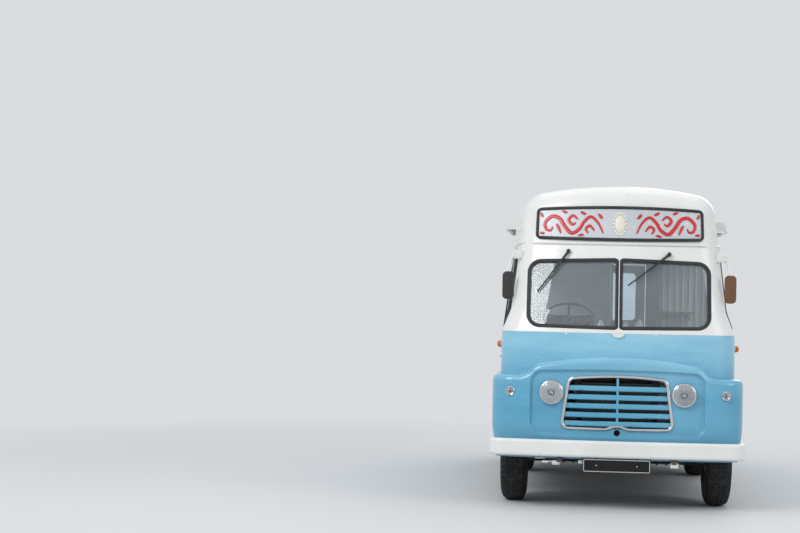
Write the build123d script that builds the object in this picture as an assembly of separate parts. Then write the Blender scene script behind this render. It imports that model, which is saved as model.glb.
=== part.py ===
from build123d import *
import math
import os

# Forward-control ice cream truck of the 1950s, right-hand drive.
# The front faces -Y, +Z is up and +X is the nearside, where the customers stand.
# Origin: on the ground, in the middle of the overall length and width. Millimetres.
# A depth is a distance back from the face of the front bumper.

# Overall sizes
LENGTH = 5120
HEIGHT = 2604
WHEELBASE = 2743
FRONT_OVERHANG = 720
TRACK = 1650
GROUND_CLEARANCE = 395
REAR_BUMPER_STAND = 85

# A half-width and a height that clear the whole truck, for cutting blocks
WIDE = 1100
TALL = 4000

# Body shell
WALL = 35
WAIST = 1400
FLARE_TOP = 1580
ROOF_RISE = 474
GUTTER = HEIGHT - ROOF_RISE
SIDE_HALF = 985
WING_HALF = 1004
BODY_END = LENGTH - REAR_BUMPER_STAND
TAPER_END = 1950
RAKE = 0.26
TUMBLEHOME = 0.112
CROWN_RADIUS = 3460
DOME_RADIUS = 185
FRONT_CORNER_RADIUS = 210
REAR_CORNER_RADIUS = 210
NOSE_DEPTH = 130
NOSE_BOW = 92
NOSE_RADIUS = (WING_HALF**2 + NOSE_BOW**2) / (2 * NOSE_BOW)
WING_CORNER = 190
UPPER_NOSE_DEPTH = 225
UPPER_CORNER_X = 862
UPPER_CORNER_DEPTH = 440
UPPER_NOSE_AT_FLARE = 310
WING_SHOULDER = 1050
BROW_RISE = 105
BROW_CROWN = 55
SHOULDER_RADIUS = 48
PANEL_GAP = 6

# Door hinges: a barrel on a pin between two knuckles
HINGE_BARREL = 6
HINGE_PIN = 3
HINGE_BORE = 3.05
HINGE_LENGTH = 34
HINGE_KNUCKLE = 24
HINGE_LEAF = 3
HINGE_LEAF_WIDTH = 34
HINGE_STAND = 4
HINGE_ROOM = 11
HINGE_END_GAP = 0.3
SIDE_HINGES = (560, 940)
REAR_HINGES = (860, 1860)

# Recessed panel round the grille and headlamps
RECESS_HALF = 690
RECESS_BOTTOM = 590
RECESS_TOP = 1085
RECESS_DEEP = 26
RECESS_CORNER = 95
RECESS_ROUND = 12
RECESS_BOW_LOW = -12
RECESS_BOW_HIGH = 18

# Grille
GRILLE_BOTTOM = 640
GRILLE_TOP = 1030
GRILLE_HALF_BOTTOM = 440
GRILLE_HALF_TOP = 386
GRILLE_CROWN = 24
GRILLE_SAG = -4
GRILLE_CORNER = 46
BAR_COUNT = 5
BAR_HEIGHT = 43
BAR_PITCH = 70.6
BAR_THICK = 26
BAR_ROUND = 11
BAR_SINK = 4
FIRST_BAR = 14
MIDDLE_STRIP_HALF = 9
SURROUND_WIDTH = 17
SURROUND_THICK = 12
HANDLE_HOLE = 50
HANDLE_HOLE_Z = 607

# Lamps
HEADLAMP_X = 526
LAMP_Z = 919
HEADLAMP_RIM = 200
HEADLAMP_LAP = 9
SIDE_LAMP_X = 858
SIDE_LAMP_RIM = 78
INDICATOR_Z = 1287
INDICATOR_DIA = 62
INDICATOR_DEPTH = 600
TAIL_LAMP_X = 700
TAIL_LAMPS = ((800, 44), (930, 44), (1040, 34))

# Bumpers
BUMPER_HALF = WING_HALF + 10
BUMPER_BOTTOM = 417
BUMPER_HEIGHT = 134
BUMPER_THICK = 34
BUMPER_BOW = 60
BUMPER_WRAP = 188
BUMPER_CORNER = 120
BUMPER_ROUND = 24
REAR_BUMPER_HALF = 960
REAR_BUMPER_BOTTOM = 440
REAR_BUMPER_HEIGHT = 110
REAR_BUMPER_BOW = 10
REAR_BUMPER_THICK = 30
REAR_BUMPER_WRAP = 70
REAR_BUMPER_CORNER = 40

# Blank number plates
PLATE_HALF = 266.5
PLATE_HEIGHT = 108
PLATE_THICK = 6
FRONT_PLATE_DROP = 114
FRONT_PLATE_DEPTH = 20
REAR_PLATE_BOTTOM = 575

# Windows
SCREEN_BOTTOM = 1446
SCREEN_DROP = 145
SCREEN_TOP = GUTTER - SCREEN_DROP
SCREEN_HALF = 722
SCREEN_CORNER = 88
SCREEN_DIVIDER = 44
SCREEN_INNER_CORNER = 12
GLASS_THICK = 6
GLASS_INSET = 12

# Sign over the windscreen
SIGN_HALF = 680
SIGN_LIFT = 30
SIGN_HEIGHT = 248
SIGN_BOTTOM = GUTTER + SIGN_LIFT
SIGN_TOP = SIGN_BOTTOM + SIGN_HEIGHT
SIGN_CROWN = 20
SIGN_SAG = -12
SIGN_CORNER = 34
SIGN_PROUD = 10

# Doors
DOOR_FRONT = 1206
DOOR_WIDTH = 690
DOOR_DROP = 38
DOOR_TOP = GUTTER - DOOR_DROP
DOOR_BOTTOM = 452
DOOR_END = DOOR_FRONT + DOOR_WIDTH
REAR_DOOR_HALF = 370
REAR_DOOR_BOTTOM = 700
REAR_DOOR_DROP = 90
REAR_DOOR_TOP = GUTTER - REAR_DOOR_DROP

# Partitions behind the cab
BULKHEAD_GAP = 40
BULKHEAD_THICK = 22
BULKHEAD_END = DOOR_END + BULKHEAD_GAP + BULKHEAD_THICK

# Serving windows and their hoods
HATCH_GAP = 172
HATCH_FRONT = BULKHEAD_END + HATCH_GAP
HATCH_WIDTH = 1500
HATCH_BOTTOM = 1440
HATCH_DROP = 44
HATCH_TOP = GUTTER - HATCH_DROP
HATCH_CORNER = 40
HOOD_PROJECTION = 104
HOOD_HEIGHT = 96
HOOD_LIFT = 154
HOOD_Z = GUTTER + HOOD_LIFT
HOOD_OVERLAP = 70
HOOD_METAL = 8

# Other side windows and the window of the rear door
QUARTER_FRONT = 640
QUARTER_WIDTH = 460
QUARTER_LEAN = 130
WINDOW_BOTTOM = 1456
WINDOW_DROP = 94
WINDOW_TOP = GUTTER - WINDOW_DROP
WINDOW_CORNER = 46
DOOR_WINDOW_MARGIN = 84
REAR_SIDE_GAP = 190
REAR_SIDE_WIDTH = 700
REAR_SIDE_CORNER = 60
REAR_DOOR_MARGIN = 90
REAR_WINDOW_DROP = 80
REAR_WINDOW_CORNER = 50

# Wheels: 7.50-16 tyres
TYRE_RADIUS = 403
TYRE_WIDTH = 215
RIM_RADIUS = 213
BEAD_HALF = 78
KINGPIN_X = 700

# Floor and frame
FLOOR_Z = 720
FLOOR_THICK = 22
RAIL_X = 400
RAIL_WIDTH = 58
RAIL_TOP = 640
RAIL_HEIGHT = 132
RAIL_METAL = 8
ARCH_ROOM = 52
ARCH_RADIUS = TYRE_RADIUS + ARCH_ROOM
ARCH_CENTRE_Z = TYRE_RADIUS - 23
HOUSING_RADIUS = ARCH_RADIUS + 27
HOUSING_METAL = 8

FRONT = -LENGTH / 2
REAR = LENGTH / 2
FRONT_AXLE = FRONT + FRONT_OVERHANG
REAR_AXLE = FRONT_AXLE + WHEELBASE
REAR_AXLE_DEPTH = FRONT_OVERHANG + WHEELBASE
WHEEL_X = TRACK / 2


def depth(y):
    return FRONT + y


def box(x0, x1, y0, y1, z0, z1):
    """A block between two corners, in the truck's own frame."""
    centre = ((x0 + x1) / 2, (y0 + y1) / 2, (z0 + z1) / 2)
    return Pos(*centre) * Box(x1 - x0, y1 - y0, z1 - z0)


def rod(start, end, radius):
    """A round bar from one point to another."""
    axis = Vector(*end) - Vector(*start)
    plane = Plane(origin=start, z_dir=axis)
    return extrude(plane * Circle(radius), amount=axis.length)


def both_sides(piece):
    return [piece, mirror(piece, about=Plane.YZ)]


def save(node, solids):
    """Write one node, made of one or more solids."""
    shapes = solids if isinstance(solids, list) else [solids]
    flat = [s for shape in shapes for s in shape.solids()]
    export_step(Compound(children=flat) if len(flat) > 1 else flat[0], f"parts/{node}.step")


# Body outlines


def plan(z, nose, corner_x, corner_y, side_x, corner_r, inset):
    """The closed plan outline of the body at one level."""
    with BuildSketch(Plane.XY.offset(z)) as sketch:
        with BuildLine():
            ThreePointArc((-corner_x, depth(corner_y)), (0, depth(nose)), (corner_x, depth(corner_y)))
            Polyline(
                (corner_x, depth(corner_y)),
                (side_x, depth(TAPER_END)),
                (side_x, depth(BODY_END)),
                (-side_x, depth(BODY_END)),
                (-side_x, depth(TAPER_END)),
                (-corner_x, depth(corner_y)),
            )
        make_face()
        corners = sketch.vertices().filter_by_position(Axis.Y, depth(corner_y) - 1, depth(corner_y) + 1)
        fillet(corners, corner_r)
        rear = sketch.vertices().filter_by_position(Axis.Y, depth(BODY_END) - 1, depth(BODY_END) + 1)
        fillet(rear, REAR_CORNER_RADIUS)
        bends = sketch.vertices().filter_by_position(Axis.Y, depth(TAPER_END) - 1, depth(TAPER_END) + 1)
        if abs(side_x - corner_x) > 12:
            fillet(bends, 2500)
        if inset:
            offset(amount=-inset, mode=Mode.REPLACE)
    return sketch.sketch.faces()[0]


# Levels of the upper body: height, nose depth, corner half-width, corner depth, side half-width
LOFT_TOP = HEIGHT + 156
UPPER_LEVELS = (
    (WING_SHOULDER - 90, UPPER_NOSE_DEPTH - 14, 945, 372, SIDE_HALF),
    (WAIST, UPPER_NOSE_DEPTH + 32, 938, 392, SIDE_HALF),
    (
        FLARE_TOP,
        UPPER_NOSE_AT_FLARE,
        UPPER_CORNER_X,
        UPPER_CORNER_DEPTH,
        SIDE_HALF - TUMBLEHOME * (FLARE_TOP - WAIST),
    ),
    (
        LOFT_TOP,
        UPPER_NOSE_AT_FLARE + RAKE * (LOFT_TOP - FLARE_TOP),
        UPPER_CORNER_X - TUMBLEHOME * (LOFT_TOP - FLARE_TOP),
        UPPER_CORNER_DEPTH + RAKE * (LOFT_TOP - FLARE_TOP),
        SIDE_HALF - TUMBLEHOME * (LOFT_TOP - WAIST),
    ),
)


def upper_body(inset):
    """Cab and box above the wings, with the crowned and domed roof."""
    sections = [plan(z, n, cx, cy, sx, FRONT_CORNER_RADIUS, inset) for z, n, cx, cy, sx in UPPER_LEVELS]
    walls = loft(sections, ruled=True)
    top = HEIGHT - inset
    reach = 1300
    edge = top - (CROWN_RADIUS - math.sqrt(CROWN_RADIUS**2 - reach**2))
    with BuildSketch(Plane.XZ) as crown:
        with BuildLine():
            ThreePointArc((reach, edge), (0, top), (-reach, edge))
            Polyline((-reach, edge), (-reach, 0), (reach, 0), (reach, edge))
        make_face()
    body = walls & extrude(crown.sketch, amount=LENGTH, both=True)
    rim = [e for e in body.edges() if e.bounding_box().min.Z > GUTTER + 60]
    return fillet(rim, DOME_RADIUS - inset)


def wing_profile(inset):
    """Front view of the lower nose: flat wing shoulders that sweep up to the brow."""
    half = WING_HALF - inset
    low = WING_SHOULDER - inset
    rise = BROW_RISE
    with BuildSketch(Plane.XZ) as sketch:
        with BuildLine():
            Polyline((-800, low), (-half, low), (-half, 0), (half, 0), (half, low), (800, low))
            sweep_right = TangentArc((800, low), (690, low + rise / 2), tangent=(-1, 0))
            TangentArc(sweep_right @ 1, (580, low + rise), tangent=sweep_right % 1)
            brow = ThreePointArc((580, low + rise), (0, low + rise + BROW_CROWN), (-580, low + rise))
            left = TangentArc((-800, low), (-690, low + rise / 2), tangent=(1, 0))
            TangentArc(left @ 1, brow @ 1, tangent=left % 1)
        make_face()
    return sketch.sketch


def lower_body(inset, nose_extra=0):
    """Wings and lower nose, the full width of the truck, with a rounded shoulder."""
    nose = depth(NOSE_DEPTH + nose_extra)
    corner = nose + NOSE_BOW
    with BuildSketch(Plane.XY) as outline:
        half = WING_HALF
        with BuildLine():
            ThreePointArc((-half, corner), (0, nose), (half, corner))
            Polyline(
                (half, corner),
                (half, depth(TAPER_END)),
                (SIDE_HALF, depth(2 * TAPER_END)),
                (SIDE_HALF, depth(BODY_END)),
                (-SIDE_HALF, depth(BODY_END)),
                (-SIDE_HALF, depth(2 * TAPER_END)),
                (-half, depth(TAPER_END)),
                (-half, corner),
            )
        make_face()
        front = outline.vertices().filter_by_position(Axis.Y, corner - 1, corner + 1)
        fillet(front, WING_CORNER)
        rear = outline.vertices().filter_by_position(Axis.Y, depth(BODY_END) - 1, depth(BODY_END) + 1)
        fillet(rear, REAR_CORNER_RADIUS)
        if inset:
            offset(amount=-inset, mode=Mode.REPLACE)
    prism = extrude(outline.sketch, amount=1500)
    block = prism & extrude(wing_profile(inset), amount=LENGTH, both=True)
    if inset >= WALL:
        return block
    block = block & box(-WIDE, WIDE, FRONT, REAR, GROUND_CLEARANCE + inset, 1500)
    shoulder = [e for e in block.edges() if e.bounding_box().min.Z > WING_SHOULDER - inset - 2]
    return fillet(shoulder, SHOULDER_RADIUS - inset)


def body(inset, nose_extra=0):
    return upper_body(inset) + lower_body(inset, nose_extra)


def prism_y(points, y0, y1, radius=0):
    """An outline drawn on the front view, as long as y0 to y1."""
    with BuildSketch(Plane.XZ) as sketch:
        with BuildLine():
            Polyline(*points, close=True)
        make_face()
        if radius:
            fillet(sketch.vertices(), radius)
    return Pos(0, y1, 0) * extrude(sketch.sketch, amount=y1 - y0)


def prism_x(points, x0, x1, radius=0):
    """An outline drawn on the side view, from x0 to x1."""
    with BuildSketch(Plane.YZ) as sketch:
        with BuildLine():
            Polyline(*[(depth(y), z) for y, z in points], close=True)
        make_face()
        if radius:
            fillet(sketch.vertices(), radius)
    return Pos(x0, 0, 0) * extrude(sketch.sketch, amount=x1 - x0)


def crowned(half_low, half_high, low, high, drop, rise, y0, y1, radius):
    """A four-sided outline with bowed top and bottom edges, on the front view."""
    with BuildSketch(Plane.XZ) as sketch:
        with BuildLine():
            Line((-half_low, low), (-half_high, high))
            ThreePointArc((-half_high, high), (0, high + rise), (half_high, high))
            Line((half_high, high), (half_low, low))
            ThreePointArc((half_low, low), (0, low + drop), (-half_low, low))
        make_face()
        fillet(sketch.vertices(), radius)
    return Pos(0, y1, 0) * extrude(sketch.sketch, amount=y1 - y0)


def nose_y(x, inset=0):
    """Where the face of the lower nose stands at a distance from the middle."""
    return depth(NOSE_DEPTH) + NOSE_RADIUS - math.sqrt(NOSE_RADIUS**2 - x**2) + inset


def screen_y(x, z):
    """Where the face of the upper cab stands at a place on the front view."""
    rise = (z - FLARE_TOP) / (LOFT_TOP - FLARE_TOP)
    low, high = UPPER_LEVELS[2], UPPER_LEVELS[3]
    nose = low[1] + rise * (high[1] - low[1])
    corner_x = low[2] + rise * (high[2] - low[2])
    bow = low[3] - low[1]
    radius = (corner_x**2 + bow**2) / (2 * bow)
    return depth(nose) + radius - math.sqrt(radius**2 - x**2)


def upper_corner(z):
    """Half-width and depth of the cab's front corner at one height, before it is rounded."""
    rise = z - FLARE_TOP
    return UPPER_CORNER_X - TUMBLEHOME * rise, UPPER_CORNER_DEPTH + RAKE * rise


# Openings in the shell


def screen_openings():
    """The two panes of the divided windscreen."""
    top, low = SCREEN_TOP, SCREEN_BOTTOM
    edge = SCREEN_DIVIDER / 2
    points = [(edge, low), (SCREEN_HALF, low + 10), (SCREEN_HALF, top - 20), (edge, top)]
    with BuildSketch(Plane.XZ) as sketch:
        with BuildLine():
            Polyline(*points, close=True)
        make_face()
        outer = sketch.vertices().filter_by_position(Axis.X, SCREEN_HALF - 1, SCREEN_HALF + 1)
        fillet(outer, SCREEN_CORNER)
        fillet(sketch.vertices().filter_by_position(Axis.X, edge - 1, edge + 1), SCREEN_INNER_CORNER)
    pane = Pos(0, depth(900), 0) * extrude(sketch.sketch, amount=900)
    return both_sides(pane)


def side_window(front, width, low, high, radius, lean=0):
    """A side window outline; lean moves the top of its front edge back."""
    points = [(front, low), (front + width, low), (front + width, high), (front + lean, high)]
    return prism_x(points, SIDE_HALF - 260, SIDE_HALF + 60, radius)


def quarter_window():
    return side_window(QUARTER_FRONT, QUARTER_WIDTH, WINDOW_BOTTOM, WINDOW_TOP, WINDOW_CORNER, QUARTER_LEAN)


def door_window():
    width = DOOR_WIDTH - 2 * DOOR_WINDOW_MARGIN
    front = DOOR_FRONT + DOOR_WINDOW_MARGIN
    return side_window(front, width, WINDOW_BOTTOM, WINDOW_TOP, WINDOW_CORNER)


def hatch_window():
    return side_window(HATCH_FRONT, HATCH_WIDTH, HATCH_BOTTOM, HATCH_TOP, HATCH_CORNER)


def rear_side_window():
    front = HATCH_FRONT + HATCH_WIDTH + REAR_SIDE_GAP
    return side_window(front, REAR_SIDE_WIDTH, WINDOW_BOTTOM, HATCH_TOP, REAR_SIDE_CORNER)


def rear_door_window():
    half = REAR_DOOR_HALF - REAR_DOOR_MARGIN
    top = REAR_DOOR_TOP - REAR_WINDOW_DROP
    points = [(-half, WINDOW_BOTTOM), (half, WINDOW_BOTTOM), (half, top), (-half, top)]
    return prism_y(points, depth(BODY_END - 200), depth(BODY_END + 60), REAR_WINDOW_CORNER)


def wheel_arch(axle_y, radius, x0, x1):
    """The space round one pair of wheels, on the +X side."""
    return Pos((x0 + x1) / 2, axle_y, ARCH_CENTRE_Z) * Rot(0, 90, 0) * Cylinder(radius, x1 - x0)


def door_region(grow=0):
    y0, y1 = depth(DOOR_FRONT) - grow, depth(DOOR_END) + grow
    return box(500, WIDE, y0, y1, DOOR_BOTTOM - grow, DOOR_TOP + grow)


def rear_door_region(grow=0):
    half = REAR_DOOR_HALF + grow
    low, high = REAR_DOOR_BOTTOM - grow, REAR_DOOR_TOP + grow
    return box(-half, half, depth(BODY_END - 200), depth(BODY_END + 60), low, high)


def recess():
    """The shallow pressed recess round the grille and headlamps."""
    face = depth(NOSE_DEPTH)
    outline = crowned(
        RECESS_HALF, RECESS_HALF, RECESS_BOTTOM, RECESS_TOP, RECESS_BOW_LOW, RECESS_BOW_HIGH,
        face - 200, face + 200, RECESS_CORNER,
    )
    return outline & (lower_body(0) - lower_body(RECESS_DEEP))


def grille_outline(grow=0):
    low, high = GRILLE_BOTTOM - grow, GRILLE_TOP + grow
    corner = GRILLE_CORNER + grow
    face = depth(NOSE_DEPTH)
    half_low, half_high = GRILLE_HALF_BOTTOM + grow, GRILLE_HALF_TOP + grow
    return crowned(half_low, half_high, low, high, GRILLE_SAG, GRILLE_CROWN, face - 100, face + 160, corner)


# Hinges, drawn round their own axis: the body lies towards -Y, the door towards +Y


def hinge_body(z):
    """The two fixed knuckles with their leaf and pin."""
    pieces = Pos(0, 0, z) * Cylinder(HINGE_PIN, HINGE_LENGTH + 2 * HINGE_KNUCKLE)
    for end in (-1, 1):
        middle = z + end * (HINGE_LENGTH / 2 + HINGE_END_GAP + HINGE_KNUCKLE / 2)
        knuckle = Pos(0, 0, middle) * Cylinder(HINGE_BARREL, HINGE_KNUCKLE)
        leaf = Pos(-HINGE_STAND + HINGE_LEAF / 2, -HINGE_LEAF_WIDTH / 2, middle)
        pieces = pieces + knuckle + leaf * Box(HINGE_LEAF, HINGE_LEAF_WIDTH, HINGE_KNUCKLE)
    return pieces


def hinge_door(z):
    """The barrel on the door, with its leaf."""
    barrel = Pos(0, 0, z) * Cylinder(HINGE_BARREL, HINGE_LENGTH)
    leaf = Pos(-HINGE_STAND + HINGE_LEAF / 2, HINGE_LEAF_WIDTH / 2, z) * Box(
        HINGE_LEAF, HINGE_LEAF_WIDTH, HINGE_LENGTH
    )
    return (barrel + leaf) - Pos(0, 0, z) * Cylinder(HINGE_BORE, HINGE_LENGTH + 2)


def hinge_room_in_door(z):
    span = HINGE_LENGTH + 2 * HINGE_KNUCKLE + 12
    room = Pos(0, 0, z) * Cylinder(HINGE_ROOM, span)
    return room - Pos(0, 0, z) * Cylinder(HINGE_ROOM + 1, HINGE_LENGTH - 2)


def hinge_room_in_body(z):
    return Pos(0, 0, z) * Cylinder(HINGE_ROOM, HINGE_LENGTH + 2 * HINGE_END_GAP)


SIDE_HINGE_PLACE = Pos(WING_HALF + HINGE_STAND, depth(DOOR_FRONT - PANEL_GAP / 2), 0)
REAR_HINGE_PLACE = Pos(-REAR_DOOR_HALF - PANEL_GAP / 2, depth(BODY_END) + HINGE_STAND, 0) * Rot(0, 0, 90)
REAR_HINGE_PLACE = REAR_HINGE_PLACE * Rot(180, 0, 0)


# Body pieces

NOSE_END = DOOR_FRONT - PANEL_GAP
REAR_SPLIT = BODY_END - REAR_CORNER_RADIUS


LAMP_SEAT = 62


def lamp_seats():
    """Flat rings on the bowed nose that the headlamps stand on."""
    seats = []
    for side in (-1, 1):
        x = side * HEADLAMP_X
        face = nose_y(HEADLAMP_X - HEADLAMP_RIM / 2, RECESS_DEEP)
        outer, bore = HEADLAMP_RIM / 2 + 2, HEADLAMP_RIM / 2 - HEADLAMP_LAP
        ring = Cylinder(outer, LAMP_SEAT) - Cylinder(bore, LAMP_SEAT)
        seats.append(Pos(x, face + LAMP_SEAT / 2, LAMP_Z) * Rot(90, 0, 0) * ring)
    return seats


def recess_edges(panel, inset):
    """The edges of the recess that lie on the bowed nose, or on the same bow further in."""
    centre = depth(NOSE_DEPTH) + NOSE_RADIUS
    radius = NOSE_RADIUS - inset
    found = []
    for edge in panel.edges():
        points = [edge @ 0.1, edge @ 0.5, edge @ 0.9]
        on_bow = all(abs(centre - math.sqrt(radius**2 - p.X**2) - p.Y) < 1 for p in points)
        low, high = RECESS_BOTTOM + RECESS_BOW_LOW - 3, RECESS_TOP + RECESS_BOW_HIGH + 2
        inside = all(low < p.Z < high and abs(p.X) < RECESS_HALF + 1 for p in points)
        if on_bow and inside:
            found.append(edge)
    return found


def nose_panel(shell):
    """The pressed nose: brow, soft-edged recess, grille opening, lamp seats and wheel arches."""
    panel = shell & box(-WIDE, WIDE, FRONT, depth(NOSE_END), 0, WAIST)
    panel = panel - recess()
    panel = fillet(recess_edges(panel, 0), RECESS_ROUND)
    panel = fillet(recess_edges(panel, RECESS_DEEP), RECESS_ROUND)
    panel = panel + lamp_seats()
    panel = panel - grille_outline()
    for side in (-1, 1):
        hole = Cylinder(HEADLAMP_RIM / 2 - HEADLAMP_LAP, 300)
        panel = panel - Pos(side * HEADLAMP_X, depth(NOSE_DEPTH), LAMP_Z) * Rot(90, 0, 0) * hole
    handle = Cylinder(HANDLE_HOLE / 2, 200)
    panel = panel - Pos(0, depth(NOSE_DEPTH), HANDLE_HOLE_Z) * Rot(90, 0, 0) * handle
    panel = panel - both_sides(wheel_arch(FRONT_AXLE, ARCH_RADIUS, 560, WIDE))
    for z in SIDE_HINGES:
        panel = panel - both_sides(SIDE_HINGE_PLACE * hinge_room_in_body(z))
        panel = panel + both_sides(SIDE_HINGE_PLACE * hinge_body(z))
    return panel


def screen_panel(shell):
    panel = shell & box(-WIDE, WIDE, FRONT, depth(NOSE_END), WAIST, GUTTER)
    for cut in screen_openings() + both_sides(quarter_window()):
        panel = panel - cut
    return panel


def roof_panel(shell):
    return shell & box(-WIDE, WIDE, FRONT, REAR, GUTTER, HEIGHT + 10)


def side_panel(shell):
    panel = shell & box(0, WIDE, depth(NOSE_END), depth(REAR_SPLIT), 0, GUTTER)
    panel = panel - door_region(PANEL_GAP)
    panel = panel - wheel_arch(REAR_AXLE, ARCH_RADIUS, 700, WIDE)
    return panel - hatch_window() - rear_side_window()


def rear_panel(shell):
    panel = shell & box(-WIDE, WIDE, depth(REAR_SPLIT), REAR, 0, GUTTER)
    panel = panel - rear_door_region(PANEL_GAP)
    for z in REAR_HINGES:
        panel = panel - REAR_HINGE_PLACE * hinge_room_in_body(-z) + REAR_HINGE_PLACE * hinge_body(-z)
    return panel


def side_door(shell):
    door = (shell & door_region()) - door_window()
    for z in SIDE_HINGES:
        door = door - SIDE_HINGE_PLACE * hinge_room_in_door(z) + SIDE_HINGE_PLACE * hinge_door(z)
    return door


def rear_door(shell):
    door = (shell & rear_door_region()) - rear_door_window()
    for z in REAR_HINGES:
        door = door - REAR_HINGE_PLACE * hinge_room_in_door(-z) + REAR_HINGE_PLACE * hinge_door(-z)
    return door


def rear_door_glass():
    y = depth(BODY_END)
    return rear_door_window() & box(-WIDE, WIDE, y - GLASS_INSET - GLASS_THICK, y - GLASS_INSET, 0, TALL)


def glazing():
    """Fixed glass: windscreen, quarters, serving windows and rear sides."""
    layer = upper_body(GLASS_INSET) - upper_body(GLASS_INSET + GLASS_THICK)
    sides = [quarter_window(), hatch_window(), rear_side_window()]
    cuts = screen_openings() + [piece for window in sides for piece in both_sides(window)]
    return [layer & cut for cut in cuts]


def sign_panel():
    face = depth(0)
    layer = upper_body(-SIGN_PROUD) - upper_body(0)
    outline = crowned(
        SIGN_HALF, SIGN_HALF - 6, SIGN_BOTTOM, SIGN_TOP, SIGN_SAG, SIGN_CROWN,
        face, face + 1000, SIGN_CORNER,
    )
    return layer & outline


# Grille and nose fittings


def bowed_strip(half, inset, thick, low, high, round_over):
    """An upright strip that follows the bow of the nose, its front edges rounded."""
    with BuildSketch(Plane.XY.offset(low)) as sketch:
        with BuildLine():
            y0, y1 = nose_y(0, inset), nose_y(half, inset)
            ThreePointArc((-half, y1), (0, y0), (half, y1))
            Line((half, y1), (half, y1 + thick))
            ThreePointArc((half, y1 + thick), (0, y0 + thick), (-half, y1 + thick))
            Line((-half, y1 + thick), (-half, y1))
        make_face()
    strip = extrude(sketch.sketch, amount=high - low)
    front = strip.edges().filter_by(GeomType.CIRCLE).sort_by(Axis.Y)[:2]
    return fillet(front, round_over)


def grille_bars():
    """Five pressed bars that follow the bow of the nose, joined by a middle strip."""
    opening = grille_outline(-0.3)
    inset = RECESS_DEEP + BAR_SINK
    reach = GRILLE_HALF_BOTTOM + 20
    strip_low, strip_high = GRILLE_BOTTOM - 3, GRILLE_TOP + GRILLE_CROWN
    whole = bowed_strip(MIDDLE_STRIP_HALF, inset + 2, BAR_THICK, strip_low, strip_high, 3)
    for index in range(BAR_COUNT):
        z = GRILLE_BOTTOM + FIRST_BAR + index * BAR_PITCH
        whole = whole + bowed_strip(reach, inset, BAR_THICK, z, z + BAR_HEIGHT, BAR_ROUND)
    return whole & opening


def grille_surround():
    """The bright ring round the grille, with a bump over the starting handle hole."""
    layer = lower_body(RECESS_DEEP - SURROUND_THICK) - lower_body(RECESS_DEEP)
    ring = grille_outline(SURROUND_WIDTH) - grille_outline(0)
    bump = Pos(0, depth(NOSE_DEPTH + 50), HANDLE_HOLE_Z) * Rot(90, 0, 0)
    ring = ring - bump * Cylinder(HANDLE_HOLE / 2 + 3, 300)
    arc = bump * (Cylinder(HANDLE_HOLE / 2 + 16, 300) - Cylinder(HANDLE_HOLE / 2 + 3, 300))
    arc = arc & box(-100, 100, FRONT, depth(400), GRILLE_BOTTOM - SURROUND_WIDTH - 4, 800)
    return layer & (ring + arc)


def cap_arc(radius, height, y):
    """Half the outline of a spherical cap that stands out from a level, on the lamp's own section."""
    sphere = (radius**2 + height**2) / (2 * height)
    half = math.asin(radius / sphere) / 2
    middle = (sphere * math.sin(half), y - height + sphere * (1 - math.cos(half)))
    return ThreePointArc((radius, y), middle, (0, y - height))


def headlamp(x):
    """A round lamp: bowl behind the panel, bright rim and domed lens in front."""
    face = nose_y(HEADLAMP_X - HEADLAMP_RIM / 2, RECESS_DEEP)
    rim = HEADLAMP_RIM / 2
    lens = rim - 13
    with BuildSketch(Plane.XZ) as profile:
        with BuildLine():
            Polyline((0, 78), (46, 70), (rim - 14, 8), (rim - 14, 0), (rim, 0), (rim, -9))
            Line((rim, -9), (rim - 4, -18))
            Line((rim - 4, -18), (lens, -22))
            cap_arc(lens, 22, -22)
            Line((0, -44), (0, 78))
        make_face()
    lamp = revolve(profile.sketch, Axis.Z)
    return Pos(x, face, LAMP_Z) * Rot(-90, 0, 0) * lamp


def small_lamp(radius, length, height):
    """A small lamp along -Y: round base and domed lens."""
    with BuildSketch(Plane.XZ) as profile:
        with BuildLine():
            Polyline((0, 60), (radius, 60), (radius, -length))
            cap_arc(radius, height, -length)
            Line((0, -length - height), (0, 60))
        make_face()
    return Rot(-90, 0, 0) * revolve(profile.sketch, Axis.Z)


def front_lamps():
    """Side lamps on the wings and amber indicators on the cab sides."""
    nose = lower_body(0)
    cab = upper_body(0)
    lamps = []
    radius = SIDE_LAMP_RIM / 2
    for side in (-1, 1):
        x = side * SIDE_LAMP_X
        lamp = Pos(x, nose_y(SIDE_LAMP_X) + 4, LAMP_Z) * small_lamp(radius, 16, 22)
        lamps.append(lamp - nose)
        x0, x1 = sorted((side * 860, side * 950))
        y0, y1 = depth(INDICATOR_DEPTH - 40), depth(INDICATOR_DEPTH + 40)
        plinth = box(x0, x1, y0, y1, INDICATOR_Z - 70, INDICATOR_Z + 70)
        dome = Cylinder(INDICATOR_DIA / 2, 8) + Pos(0, 0, 4) * Cylinder(INDICATOR_DIA / 2 - 4, 34)
        dome = Pos(side * 946, depth(INDICATOR_DEPTH), INDICATOR_Z) * Rot(0, side * 90, 0) * dome
        lamps.append((plinth + dome) - cab)
    return lamps


def tail_lamps():
    lamps = []
    for side in (-1, 1):
        for z, radius in TAIL_LAMPS:
            lamp = Rot(180, 0, 0) * small_lamp(radius, 0, 18)
            y = depth(BODY_END)
            part = Pos(side * TAIL_LAMP_X, y + 14, z) * lamp
            lamps.append(part & box(-WIDE, WIDE, y, y + 100, 0, 1500))
    return lamps


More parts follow.
